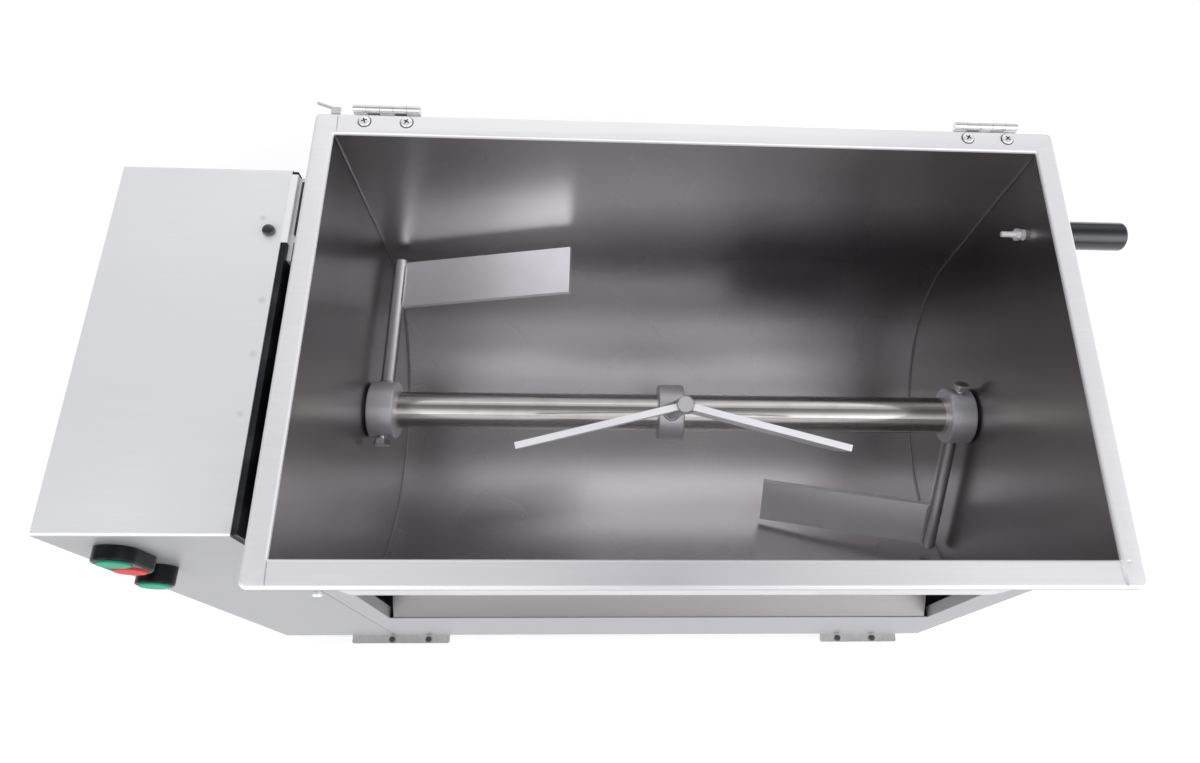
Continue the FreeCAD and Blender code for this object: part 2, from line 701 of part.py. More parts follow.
def make_moving_leaf(x_centre):
    """Leaf riveted under the lid, drawn with the lid shut."""
    z1 = HINGE_Z + KNUCKLE_R
    z0 = z1 - LEAF_SHEET
    x0 = x_centre - HINGE_LENGTH / 2
    leaf_edge = HINGE_Y - KNUCKLE_R - LEAF_TO_KNUCKLE
    leaf = box(x0, x0 + HINGE_LENGTH, HINGE_Y - MOVING_LEAF_DEPTH, leaf_edge, z0, z1)
    parts = [leaf]
    for a, b in knuckle_spans(x_centre, odd=True):
        parts.append(box(a, b, leaf_edge - JOIN, HINGE_Y, z0, z1))
        parts.append(rod_x(KNUCKLE_R, a, b, HINGE_Y, HINGE_Z))
    body = fuse_all(parts)
    return body.cut(rod_x(PIN_R + RUNNING_FIT, x0, x0 + HINGE_LENGTH, HINGE_Y, HINGE_Z))


def make_hinge_screws():
    """Pan-headed screws through the rear rim and the fixed leaves, with their nuts."""
    solids = []
    nut_z = RIM_TOP - RIM_SHEET - LEAF_SHEET - SMALL_NUT_HEIGHT
    for x, y in hinge_screw_places():
        head = placed(pan_head(HINGE_HEAD_R, HINGE_HEAD_HEIGHT), V(x, y, RIM_TOP), Z_AXIS)
        shank = rod_z(HINGE_SCREW_R, RIM_TOP - SCREW_BELOW, RIM_TOP, x, y)
        solids.append(head.fuse(shank).removeSplitter())
        nut = hexagon_nut(SMALL_NUT_R, SMALL_NUT_HEIGHT, HINGE_SCREW_R + SEAT_FIT)
        nut.translate(V(x, y, nut_z))
        solids.append(nut)
    return solids


def make_tab():
    """Small bent tab on the rim's rear left corner: the stop finger for the lid's safety switch."""
    z0 = RIM_TOP - TAB_SHEET
    plate = box(TAB_X0, TAB_X0 + TAB_WIDTH, RIM_Y, RIM_Y + TAB_REACH, z0, RIM_TOP)
    root_x = TAB_X0 + TAB_ARM_INSET
    root_y = RIM_Y + TAB_REACH
    tip_y = RIM_Y + TAB_ARM_REACH
    arm = [(root_x, root_y - TAB_ARM_SHEET), (root_x, root_y), (-RIM_X, tip_y), (-RIM_X, tip_y - TAB_ARM_SHEET)]
    return plate.fuse(slab_z(arm, z0, RIM_TOP)).removeSplitter()


# Lid, drawn shut and then swung open to hang behind the tank


def lid_swung(shape):
    """The shape turned from the shut place to hanging behind the tank."""
    moved = shape.copy()
    moved.rotate(V(0, HINGE_Y, HINGE_Z), X_AXIS, -LID_OPEN_ANGLE)
    return moved


def make_lid():
    """Folded lid sheet with a skirt at the front and both ends."""
    z0 = HINGE_Z + KNUCKLE_R
    x1 = END_X + LID_OVERLAP
    y0 = -RIM_Y + LID_EDGE_INSET
    y1 = HINGE_Y - LID_BACK_REACH
    outline = rectangle(-x1, x1, y0, y1)
    sheet = slab_z(outline, z0, z0 + LID_SHEET, [RIM_CORNER_R, RIM_CORNER_R, 0, 0])
    block = slab_z(outline, RIM_TOP + LID_SKIRT_CLEAR, z0, [RIM_CORNER_R, RIM_CORNER_R, 0, 0])
    block = block.cut(box(-x1 + LID_SHEET, x1 - LID_SHEET, y0 + LID_SHEET, y1 + CUT, RIM_TOP, z0))
    return lid_swung(sheet.fuse(block).removeSplitter())


def make_lid_handle():
    """Bent round bow near the lid's front edge."""
    z0 = HINGE_Z + KNUCKLE_R + LID_SHEET + SEAT_FIT
    y = -RIM_Y + LID_HANDLE_FROM_EDGE
    half = LID_HANDLE_SPAN / 2
    top = z0 + LID_HANDLE_HEIGHT - LID_HANDLE_R
    bend = LID_HANDLE_BEND
    crown = bend * (1 - math.cos(math.radians(45)))
    path = Part.Wire([
        Part.LineSegment(V(-half, y, z0), V(-half, y, top - bend)).toShape(),
        Part.Arc(V(-half, y, top - bend), V(-half + crown, y, top - crown),
                 V(-half + bend, y, top)).toShape(),
        Part.LineSegment(V(-half + bend, y, top), V(half - bend, y, top)).toShape(),
        Part.Arc(V(half - bend, y, top), V(half - crown, y, top - crown),
                 V(half, y, top - bend)).toShape(),
        Part.LineSegment(V(half, y, top - bend), V(half, y, z0)).toShape()])
    circle = Part.Wire([Part.makeCircle(LID_HANDLE_R, V(-half, y, z0), Z_AXIS)])
    return lid_swung(path.makePipeShell([circle], True, False))


# Mixing shaft with clamped paddles

def in_plane(x, angle, radius, offset):
    """Point at a radius along an arm's direction and an offset in its turning direction."""
    a = math.radians(angle)
    return V(x, radius * math.cos(a) - offset * math.sin(a), SHAFT_Z + radius * math.sin(a) + offset * math.cos(a))


def arm_direction(angle):
    """Unit vector of an arm at an angle from +Y towards +Z."""
    a = math.radians(angle)
    return V(0, math.cos(a), math.sin(a))


def collar_places():
    """Centre and arm angle of each collar, as (x, angle)."""
    outer = END_X - COLLAR_WALL_GAP - COLLAR_WIDTH / 2
    return [(-outer, LEFT_ARM_ANGLE), (MIDDLE_COLLAR_X, MIDDLE_ARM_ANGLE), (outer, RIGHT_ARM_ANGLE)]


def make_collar(x, angle):
    """Clamp collar with a seat for its arm and a hole for its bolt."""
    half = COLLAR_WIDTH / 2
    collar = ring_x(SHAFT_R + SEAT_FIT, COLLAR_R, x - half, x + half)
    rims = [e for e in collar.Edges if e.BoundBox.YMax > COLLAR_R - 0.01 and e.BoundBox.XLength < 0.01]
    collar = collar.makeChamfer(COLLAR_BEVEL, rims)
    direction = arm_direction(angle)
    start = V(x, 0, SHAFT_Z) + direction * (COLLAR_R - ARM_SEAT)
    collar = collar.cut(Part.makeCylinder(ARM_R, ARM_SEAT * 3, start, direction))
    start = V(x, 0, SHAFT_Z) - direction * SHAFT_R
    return collar.cut(Part.makeCylinder(CLAMP_BOLT_R + SEAT_FIT, COLLAR_R, start, direction * -1))


def make_arm(x, angle):
    """Round arm that stands in its collar's seat."""
    direction = arm_direction(angle)
    start = V(x, 0, SHAFT_Z) + direction * (COLLAR_R - ARM_SEAT)
    arm = Part.makeCylinder(ARM_R, ARM_REACH - COLLAR_R + ARM_SEAT, start, direction)
    end_edges = [e for e in arm.Edges if (e.BoundBox.Center - start).Length > ARM_REACH - COLLAR_R]
    return arm.makeChamfer(ARM_BEVEL, end_edges)


def make_blade(x, angle, side, length):
    """Flat swept blade, welded to its arm and running to one side."""
    sweep = math.radians(BLADE_SWEEP)
    half = BLADE_SHEET / 2
    root_x = x + side * (ARM_R - BLADE_ROOT_BITE) * math.cos(sweep)
    root_offset = ARM_R * math.sin(sweep)
    tip_x = x + side * length
    tip_offset = length * math.tan(sweep)
    across_x = -side * half * math.sin(sweep)
    across_t = half * math.cos(sweep)
    loop = []
    for radius, px, offset in ((BLADE_INNER_R, root_x, root_offset), (BLADE_INNER_R, tip_x, tip_offset)):
        loop.append(in_plane(px + across_x, angle, radius, offset + across_t))
    for radius, px, offset in ((BLADE_INNER_R, tip_x, tip_offset), (BLADE_INNER_R, root_x, root_offset)):
        loop.append(in_plane(px - across_x, angle, radius, offset - across_t))
    face = Part.Face(Part.makePolygon(loop + loop[:1]))
    blade = face.extrude(arm_direction(angle) * (BLADE_OUTER_R - BLADE_INNER_R))
    start = V(x, 0, SHAFT_Z)
    return blade.cut(Part.makeCylinder(ARM_R, ARM_REACH, start, arm_direction(angle)))


def make_clamp_bolt(x, angle):
    """Hexagon bolt opposite the arm, with its tip against the shaft."""
    out = arm_direction(angle) * -1
    head_at = COLLAR_R + CLAMP_BOLT_STANDOFF
    bolt = hexagon_bolt(CLAMP_HEAD_R, CLAMP_HEAD_HEIGHT, CLAMP_BOLT_R, head_at - SHAFT_R - SEAT_FIT)
    return placed(bolt, V(x, 0, SHAFT_Z) + out * head_at, out)


def make_shaft():
    """Polished shaft from the outboard bearing to the right trunnion, with a keyway under the gear."""
    shaft = rod_x(SHAFT_R, SHAFT_LEFT_X, TRUNNION_END_RIGHT - SHAFT_END_GAP)
    return shaft.cut(key_block(KEY_FIT))


def key_block(clearance):
    """Parallel key between the shaft and the big gear, grown by a clearance."""
    x0 = GEAR_X + (GEAR_WIDTH - KEY_LENGTH) / 2
    half = KEY_WIDTH / 2 + clearance
    return box(x0 - clearance, x0 + KEY_LENGTH + clearance, -half, half,
               SHAFT_Z + SHAFT_R - KEY_HEIGHT / 2 - clearance, SHAFT_Z + SHAFT_R + KEY_HEIGHT / 2 + clearance)


# Gears

def involute(base_r, radius):
    """Polar angle of the involute of a base circle where it reaches a radius."""
    roll = math.sqrt(max((radius / base_r) ** 2 - 1, 0))
    return roll - math.atan(roll)


def gear_wire(teeth, x, y, z, first_tooth):
    """Closed outline of an external involute gear about an X axis."""
    pitch_r = GEAR_MODULE * teeth / 2
    base_r = pitch_r * math.cos(math.radians(PRESSURE_ANGLE))
    tip_r = pitch_r + GEAR_MODULE
    root_r = pitch_r - DEDENDUM * GEAR_MODULE
    half_tooth = math.pi / (2 * teeth) - BACKLASH / (2 * pitch_r) + involute(base_r, pitch_r)
    start_r = max(base_r, root_r)
    radii = [start_r + (tip_r - start_r) * i / FLANK_STEPS for i in range(FLANK_STEPS + 1)]

    def at(radius, polar):
        return V(x, y + radius * math.cos(polar), z + radius * math.sin(polar))

    foot = half_tooth - involute(base_r, start_r)
    pitch = 2 * math.pi / teeth
    edges = []
    for tooth in range(teeth):
        middle = math.radians(first_tooth) + tooth * pitch
        rising = [at(r, middle - half_tooth + involute(base_r, r)) for r in radii]
        falling = [at(r, middle + half_tooth - involute(base_r, r)) for r in reversed(radii)]
        if start_r > root_r:
            edges.append(Part.LineSegment(at(root_r, middle - foot), rising[0]).toShape())
        flank = Part.BSplineCurve()
        flank.interpolate(rising)
        edges.append(flank.toShape())
        edges.append(Part.Arc(rising[-1], at(tip_r, middle), falling[0]).toShape())
        flank = Part.BSplineCurve()
        flank.interpolate(falling)
        edges.append(flank.toShape())
        if start_r > root_r:
            edges.append(Part.LineSegment(falling[-1], at(root_r, middle + foot)).toShape())
        edges.append(Part.Arc(at(root_r, middle + foot), at(root_r, middle + pitch / 2),
                              at(root_r, middle - foot + pitch)).toShape())
    return Part.Wire(edges)


def make_drive_gear():
    """Big spur gear on the mixing shaft: dished web with lightening holes and a keyed hub."""
    gear = Part.Face(gear_wire(GEAR_TEETH, GEAR_X, 0, SHAFT_Z, -90)).extrude(V(GEAR_WIDTH, 0, 0))
    dish_r = GEAR_MODULE * (GEAR_TEETH / 2 - DEDENDUM) - GEAR_RIM_WALL
    dish_depth = (GEAR_WIDTH - GEAR_WEB) / 2
    for x0 in (GEAR_X, GEAR_X + GEAR_WIDTH - dish_depth):
        gear = gear.cut(ring_x(GEAR_HUB_R, dish_r, x0, x0 + dish_depth))
    circle = (GEAR_HUB_R + dish_r) / 2
    for i in range(GEAR_HOLES):
        a = 2 * math.pi * i / GEAR_HOLES
        gear = gear.cut(rod_x(GEAR_HOLE_R, GEAR_X, GEAR_X + GEAR_WIDTH,
                              circle * math.cos(a), SHAFT_Z + circle * math.sin(a)))
    gear = gear.cut(rod_x(SHAFT_R + SEAT_FIT, GEAR_X, GEAR_X + GEAR_WIDTH))
    return gear.cut(key_block(KEY_FIT))


def make_pinion():
    """Pinion cut in one piece with the gearbox's output shaft."""
    wire = gear_wire(PINION_TEETH, GEAR_X, 0, PINION_Z, 90 + 180 / PINION_TEETH)
    pinion = Part.Face(wire).extrude(V(GEAR_WIDTH, 0, 0))
    shaft = rod_x(PINION_SHAFT_R, PINION_SHAFT_LEFT_X, PINION_SHAFT_RIGHT_X, 0, PINION_Z)
    return fuse_all([pinion, shaft])


# Geared motor and its carrier inside the cabinet


def carrier_corners():
    """The four spacer places of the drive carrier, as (y, z)."""
    y = CARRIER_HALF_WIDTH - SPACER_INSET
    return [(-y, CARRIER_BOTTOM + SPACER_INSET), (y, CARRIER_BOTTOM + SPACER_INSET),
            (y, CARRIER_TOP - SPACER_INSET), (-y, CARRIER_TOP - SPACER_INSET)]


def make_drive_carrier():
    """Plate on spacers that carries the gearbox and the shaft's outboard bearing."""
    x0 = CARRIER_X
    x1 = x0 + CARRIER_SHEET
    profile = rectangle(-CARRIER_HALF_WIDTH, CARRIER_HALF_WIDTH, CARRIER_BOTTOM, CARRIER_TOP)
    plate = slab_x(profile, x0, x1, CARRIER_CORNER_R)
    plate = plate.cut(rod_x(SHAFT_R + CARRIER_SHAFT_CLEAR, x0, x1))
    return plate.cut(rod_x(PINION_SHAFT_R + CARRIER_PINION_CLEAR, x0, x1, 0, PINION_Z))


def make_carrier_spacers():
    """Round spacers from the drive side plate to the carrier."""
    x0 = CARRIER_X + CARRIER_SHEET
    return [rod_x(SPACER_R, x0, CABINET_RIGHT_X, y, z) for y, z in carrier_corners()]


def make_outboard_bearing():
    """Flanged plain bearing for the shaft's left end."""
    x1 = CARRIER_X
    half = OUTBOARD_FLANGE_HALF
    flange = slab_x(rectangle(-half, half, SHAFT_Z - half, SHAFT_Z + half), x1 - OUTBOARD_FLANGE, x1,
                    OUTBOARD_CORNER_R)
    body = flange.fuse(rod_x(OUTBOARD_R, x1 - OUTBOARD_LENGTH, x1)).removeSplitter()
    return body.cut(rod_x(SHAFT_R + RUNNING_FIT, x1 - OUTBOARD_LENGTH, x1))


def make_gearbox():
    """Worm gearbox housing: squared case with the worm's barrel beside the wheel's."""
    x1 = CARRIER_X
    back_y = WORM_OFFSET + WORM_BARREL
    z0 = PINION_Z - GEARBOX_HALF_HEIGHT
    z1 = PINION_Z + GEARBOX_HALF_HEIGHT
    case = slab_x(rectangle(GEARBOX_FRONT_Y, back_y, z0, z1), GEARBOX_X0, x1, GEARBOX_CORNER_R)
    cover = rod_x(GEARBOX_COVER_R, GEARBOX_X0 - GEARBOX_COVER, GEARBOX_X0, 0, PINION_Z)
    case = fuse_all([case, cover])
    return case.cut(rod_x(PINION_SHAFT_R + RUNNING_FIT, PINION_SHAFT_LEFT_X - JOIN, x1, 0, PINION_Z))


def make_motor():
    """Finned motor body hung under the gearbox."""
    z1 = MOTOR_TOP
    z0 = MOTOR_BOTTOM
    parts = [rod_z(MOTOR_FLANGE_R, z1 - MOTOR_FLANGE, z1, MOTOR_X, WORM_OFFSET),
             rod_z(MOTOR_R - MOTOR_FIN_HEIGHT, z0, z1 - MOTOR_FLANGE, MOTOR_X, WORM_OFFSET)]
    fin = box(MOTOR_R - MOTOR_FIN_HEIGHT - JOIN, MOTOR_R, -MOTOR_FIN_SHEET / 2, MOTOR_FIN_SHEET / 2,
              z0 + MOTOR_FIN_INSET, z1 - MOTOR_FLANGE)
    for i in range(MOTOR_FINS):
        turned = fin.copy()
        turned.rotate(V(0, 0, 0), Z_AXIS, 360.0 * i / MOTOR_FINS)
        turned.translate(V(MOTOR_X, WORM_OFFSET, 0))
        parts.append(turned)
    return fuse_all(parts)


def make_fan_cowl():
    """Pressed cowl over the motor's fan, with slots in its end."""
    z1 = MOTOR_BOTTOM
    z0 = z1 - COWL_LENGTH
    cowl = rod_z(MOTOR_R, z0, z1, MOTOR_X, WORM_OFFSET)
    low_edge = [e for e in cowl.Edges if e.BoundBox.ZMax < z0 + 0.01]
    cowl = cowl.makeChamfer(COWL_BEVEL, low_edge)
    for step in range(-COWL_SLOTS_EACH_SIDE, COWL_SLOTS_EACH_SIDE + 1):
        half = COWL_SLOT_HALF - COWL_SLOT_TAPER * abs(step)
        y = WORM_OFFSET + step * COWL_SLOT_PITCH - COWL_SLOT_WIDTH / 2
        cowl = cowl.cut(box(MOTOR_X - half, MOTOR_X + half, y, y + COWL_SLOT_WIDTH, z0, z0 + COWL_SLOT_DEPTH))
    return cowl


def make_terminal_box():
    """Terminal box on the motor's front side, with a lid that stands over its edges."""
    z1 = MOTOR_TOP - MOTOR_FLANGE - TERMINAL_DROP
    z0 = z1 - TERMINAL_HEIGHT
    y1 = WORM_OFFSET - MOTOR_R
    y0 = y1 - TERMINAL_DEPTH
    half = TERMINAL_HALF_WIDTH
    lid = box(MOTOR_X - half, MOTOR_X + half, y0, y0 + TERMINAL_LID, z0, z1)
    inner = half - TERMINAL_STEP
    body = box(MOTOR_X - inner, MOTOR_X + inner, y0 + TERMINAL_LID, y1, z0 + TERMINAL_STEP, z1 - TERMINAL_STEP)
    return fuse_all([lid, body])


def make_contactor():
    """Motor contactor on its rail, on the cabinet's left wall."""
    wall = CABINET_LEFT_X + SKIN
    x0 = wall + TOP_HAT_DEPTH
    x1 = x0 + CONTACTOR_DEPTH
    y0 = CABINET_FRONT_Y + CONTACTOR_INSET
    y1 = y0 + CONTACTOR_WIDTH
    z1 = CABINET_TOP - CONTACTOR_DROP
    z0 = z1 - CONTACTOR_HEIGHT
    rail_y = (y0 + y1 - TOP_HAT_LENGTH) / 2
    rail_z = (z0 + z1 - TOP_HAT_HEIGHT) / 2
    rail = box(wall, x0, rail_y, rail_y + TOP_HAT_LENGTH, rail_z, rail_z + TOP_HAT_HEIGHT)
    block = box(x0, x1, y0, y1, z0, z1)
    step_x = x1 - CONTACTOR_STEP_DEPTH
    block = block.cut(box(step_x, x1, y0, y1, z0, z0 + CONTACTOR_STEP_HEIGHT))
    return [rail, block.cut(box(step_x, x1, y0, y1, z1 - CONTACTOR_STEP_HEIGHT, z1))]


# Cabinet and frame sheets


def button_drops():
    """Distance of each push button down the slope, by name."""
    return {"start_button": START_STOP_DROP - OVAL_PITCH / 2, "stop_button": START_STOP_DROP + OVAL_PITCH / 2,
            "jog_button": JOG_DROP}


def bezel_depth(name):
    """How far a button's bezel stands out of the front."""
    return JOG_DEPTH if name == "jog_button" else BEZEL_DEPTH


def make_button(name):
    """Round button cap with its stem."""
    depth = bezel_depth(name)
    cap = Part.makeCylinder(BUTTON_R, BUTTON_SKIRT + BUTTON_PROUD, V(0, 0, depth - BUTTON_SKIRT))
    rim = [e for e in cap.Edges if e.BoundBox.ZMin > depth + BUTTON_PROUD - 0.01]
    cap = cap.makeChamfer(BUTTON_BEVEL, rim)
    stem_end = -SKIN - STEM_PROUD
    stem = Part.makeCylinder(STEM_R, depth - BUTTON_SKIRT - stem_end, V(0, 0, stem_end))
    button = cap.fuse(stem).removeSplitter()
    return on_front(button, BEZEL_X, button_drops()[name])


def button_bore(depth, drop):
    """Bore of a bezel for one button."""
    floor = depth - BUTTON_SKIRT - BUTTON_TRAVEL - BUTTON_FLOOR_GAP
    bore = Part.makeCylinder(BUTTON_R + SLIP_FIT, depth + CUT, V(0, 0, floor))
    bore = bore.fuse(Part.makeCylinder(STEM_R + SLIP_FIT, depth, V(0, 0, 0)))
    return on_front(bore, BEZEL_X, drop)


def make_switch_bezel():
    """Oval housing that holds the start button above the stop button."""
    half = OVAL_PITCH / 2
    outline = [Part.Arc(V(OVAL_R, half, 0), V(0, half + OVAL_R, 0), V(-OVAL_R, half, 0)).toShape(),
               Part.LineSegment(V(-OVAL_R, half, 0), V(-OVAL_R, -half, 0)).toShape(),
               Part.Arc(V(-OVAL_R, -half, 0), V(0, -half - OVAL_R, 0), V(OVAL_R, -half, 0)).toShape(),
               Part.LineSegment(V(OVAL_R, -half, 0), V(OVAL_R, half, 0)).toShape()]
    body = Part.Face(Part.Wire(outline)).extrude(V(0, 0, BEZEL_DEPTH))
    rim = [e for e in body.Edges if e.BoundBox.ZMin > BEZEL_DEPTH - 0.01]
    body = body.makeChamfer(OVAL_BEVEL, rim)
    bezel = on_front(body, BEZEL_X, START_STOP_DROP)
    for name in ("start_button", "stop_button"):
        bezel = bezel.cut(button_bore(BEZEL_DEPTH, button_drops()[name]))
    return bezel


def make_jog_bezel():
    """Tall round collar of the jog button."""
    body = Part.makeCylinder(JOG_R, JOG_DEPTH)
    rim = [e for e in body.Edges if e.BoundBox.ZMin > JOG_DEPTH - 0.01]
    body = body.makeChamfer(JOG_BEVEL, rim)
    return on_front(body, BEZEL_X, JOG_DROP).cut(button_bore(JOG_DEPTH, JOG_DROP))


def make_contact_blocks():
    """Contact blocks behind the buttons, clipped against the inside of the front sheet."""
    blocks = []
    wide = CONTACT_HALF_WIDTH
    for drop, half in ((START_STOP_DROP, OVAL_PITCH / 2 + CONTACT_MARGIN), (JOG_DROP, JOG_CONTACT_HALF)):
        block = Part.makeBox(2 * wide, 2 * half, CONTACT_DEPTH, V(-wide, -half, -CONTACT_DEPTH - SKIN))
        blocks.append(on_front(block, BEZEL_X, drop))
    reach = SKIN + STEM_PROUD + BUTTON_TRAVEL + CONTACT_GAP
    for drop in button_drops().values():
        hole = on_front(Part.makeCylinder(STEM_R + SLIP_FIT, reach, V(0, 0, -reach)), BEZEL_X, drop)
        blocks = [block.cut(hole) for block in blocks]
    return blocks


def make_cabinet_shell():
    """Folded cabinet: leaning front, top, back and left end in one sheet, open below and on the right."""
    outer_profile = [(front_y(BASE_Z), BASE_Z), (front_y(CABINET_TOP), CABINET_TOP),
                     (CABINET_BACK_Y, CABINET_TOP), (CABINET_BACK_Y, BASE_Z)]
    outer = slab_x(outer_profile, CABINET_LEFT_X, CABINET_RIGHT_X, [0, BEND_R, BEND_R, 0])
    top = CABINET_TOP - SKIN
    low = BASE_Z - CUT
    inner_profile = [(front_y(low) + SKIN, low), (front_y(top) + SKIN, top),
                     (CABINET_BACK_Y - SKIN, top), (CABINET_BACK_Y - SKIN, low)]
    inner_bend = BEND_R - SKIN
    inner = slab_x(inner_profile, CABINET_LEFT_X + SKIN, CABINET_RIGHT_X + CUT, [0, inner_bend, inner_bend, 0])
    shell = outer.cut(inner)
    for drop in button_drops().values():
        shell = shell.cut(on_front(Part.makeCylinder(STEM_HOLE_R, 2 * CUT, V(0, 0, -CUT)), BEZEL_X, drop))
    x0, x1, z0, z1 = service_window()
    shell = shell.cut(box(x0, x1, CABINET_BACK_Y - CUT, CABINET_BACK_Y + CUT, z0, z1))
    shell = shell.cut(rod_y(GLAND_R, CABINET_BACK_Y - CUT, CABINET_BACK_Y + CUT, GLAND_X, GLAND_Z))
    return shell


def service_window():
    """Opening in the cabinet's back, as x0, x1, z0, z1."""
    return (CABINET_LEFT_X + SERVICE_MARGIN, CABINET_RIGHT_X - SERVICE_MARGIN, SERVICE_BOTTOM, SERVICE_TOP)


def make_service_cover():
    """Screwed cover over the cabinet's rear opening, with a block of vent slots near each end."""
    x0, x1, z0, z1 = service_window()
    outline = rectangle(x0 - SERVICE_OVERLAP, x1 + SERVICE_OVERLAP, z0 - SERVICE_OVERLAP, z1 + SERVICE_OVERLAP)
    cover = slab_y(outline, CABINET_BACK_Y, CABINET_BACK_Y + SKIN, SERVICE_CORNER_R)
    middle = (x0 + x1) / 2
    for i in range(LOUVRE_COUNT):
        rise = LOUVRE_END_MARGIN + i * LOUVRE_PITCH
        for z in (z0 + rise, z1 - rise):
            slot = slab_y(rectangle(middle - LOUVRE_HALF_LENGTH, middle + LOUVRE_HALF_LENGTH,
                                    z - LOUVRE_HEIGHT / 2, z + LOUVRE_HEIGHT / 2),
                          CABINET_BACK_Y, CABINET_BACK_Y + SKIN, LOUVRE_HEIGHT / 2 - LOUVRE_FLAT)
            cover = cover.cut(slot)
    return cover


def service_screw_places():
    """Six screws round the service cover, as (x, z)."""
    x0, x1, z0, z1 = service_window()
    inset = SERVICE_OVERLAP / 2
    return [(x, z) for x in (x0 - inset, x1 + inset) for z in (z0 - inset, (z0 + z1) / 2, z1 + inset)]


def make_cover_screws():
    """Pan heads on the service cover, and the retaining screw at the front's right edge."""
    solids = []
    for x, z in service_screw_places():
        head = pan_head(COVER_HEAD_R, COVER_HEAD_HEIGHT)
        solids.append(placed(head, V(x, CABINET_BACK_Y + SKIN, z), Y_AXIS))
    head = Part.makeCylinder(FRONT_SCREW_R, FRONT_SCREW_HEIGHT)
    solids.append(on_front(head, FRONT_SCREW_X, slope_drop(FRONT_SCREW_Z)))
    return solids


def make_top_plug():
    """Black knurled plug on the cabinet's top."""
    plug = pan_head(TOP_PLUG_R, TOP_PLUG_HEIGHT)
    return placed(plug, V(TOP_PLUG_X, TOP_PLUG_Y, CABINET_TOP), Z_AXIS)


def make_cable_gland():
    """Cable gland low on the cabinet's back."""
    y0 = CABINET_BACK_Y - SKIN - GLAND_INSIDE
    y1 = CABINET_BACK_Y + GLAND_NUT_HEIGHT
    y2 = y1 + GLAND_DOME_LENGTH
    body = rod_y(GLAND_R - SEAT_FIT, y0, CABINET_BACK_Y, GLAND_X, GLAND_Z)
    nut = placed(hexagon_nut(GLAND_NUT_R, GLAND_NUT_HEIGHT, CABLE_R), V(GLAND_X, CABINET_BACK_Y, GLAND_Z), Y_AXIS)
    dome = Part.makeCone(GLAND_DOME_R, GLAND_DOME_TIP_R, GLAND_DOME_LENGTH, V(GLAND_X, y1, GLAND_Z), Y_AXIS)
    return fuse_all([body, nut, dome]).cut(rod_y(CABLE_R, y0, y2, GLAND_X, GLAND_Z))


def make_drive_plate():
    """Black side plate that closes the cabinet and carries the left bearing."""
    z0 = BASE_Z + BASE_PAN_SHEET
    top = CABINET_TOP - SKIN
    profile = [(behind_front(z0), z0), (behind_front(top), top),
               (CABINET_BACK_Y - SKIN, top), (CABINET_BACK_Y - SKIN, z0)]
    plate = slab_x(profile, CABINET_RIGHT_X, DRIVE_PLATE_X)
    plate = drill_x(plate, bearing_bolt_places(), BEARING_BOLT_R + SEAT_FIT, CABINET_RIGHT_X, DRIVE_PLATE_X)
    plate = drill_x(plate, bracket_bolt_places(), BRACKET_BOLT_R + SEAT_FIT, CABINET_RIGHT_X, DRIVE_PLATE_X)
    return plate.cut(rod_x(TRUNNION_R + PLATE_BORE_CLEAR, CABINET_RIGHT_X, DRIVE_PLATE_X))


def make_right_plate():
    """Black plate inside the right upright that carries the right bearing."""
    z0 = BASE_Z + BASE_PAN_SHEET
    top = UPRIGHT_TOP - SKIN
    profile = [(behind_front(z0), z0), (behind_front(top), top),
               (CABINET_BACK_Y - SKIN, top), (CABINET_BACK_Y - SKIN, z0)]
    plate = slab_x(profile, RIGHT_PLATE_X - SIDE_PLATE, RIGHT_PLATE_X)
    return drill_x(plate, bearing_bolt_places(), BEARING_BOLT_R + SEAT_FIT, RIGHT_PLATE_X - SIDE_PLATE, RIGHT_PLATE_X)


def make_right_skin():
    """Stainless outer skin of the right upright, folded over at its top."""
    top = UPRIGHT_TOP
    profile = [(behind_front(BASE_Z), BASE_Z), (behind_front(top), top),
               (CABINET_BACK_Y - SKIN, top), (CABINET_BACK_Y - SKIN, BASE_Z)]
    skin = slab_x(profile, RIGHT_SKIN_X - SKIN, RIGHT_SKIN_X)
    cap = box(RIGHT_SKIN_X - RIGHT_CAP_WIDTH, RIGHT_SKIN_X, behind_front(top), CABINET_BACK_Y - SKIN, top - SKIN, top)
    return skin.fuse(cap).removeSplitter()


def make_front_fascia():
    """Leaning front sheet of the frame: a leg each side of a window, and the base strip, with turned lips."""
    left = CABINET_RIGHT_X + FASCIA_GAP
    right = RIGHT_SKIN_X
    bottom = -slope_drop(BASE_Z)
    top = -slope_drop(UPRIGHT_TOP)
    sill = -slope_drop(WINDOW_BOTTOM)
    outline = [(left, bottom), (right, bottom), (right, top), (LEG_INNER_X, top),
               (LEG_INNER_X, sill), (-LEG_INNER_X, sill), (-LEG_INNER_X, top), (left, top)]
    sheet = Part.Face(rounded_wire([V(x, y, 0) for x, y in outline], 0)).extrude(V(0, 0, -SKIN))
    parts = [sheet]
    for x in (-LEG_INNER_X - SKIN, LEG_INNER_X):
        parts.append(Part.makeBox(SKIN, top - sill, LIP_DEPTH, V(x, sill, -SKIN - LIP_DEPTH)))
    fascia = on_front(fuse_all(parts), 0, 0)
    below = box(left, right, front_y(0) - SKIN, CABINET_BACK_Y, 0, BASE_Z)
    return fascia.cut(below)


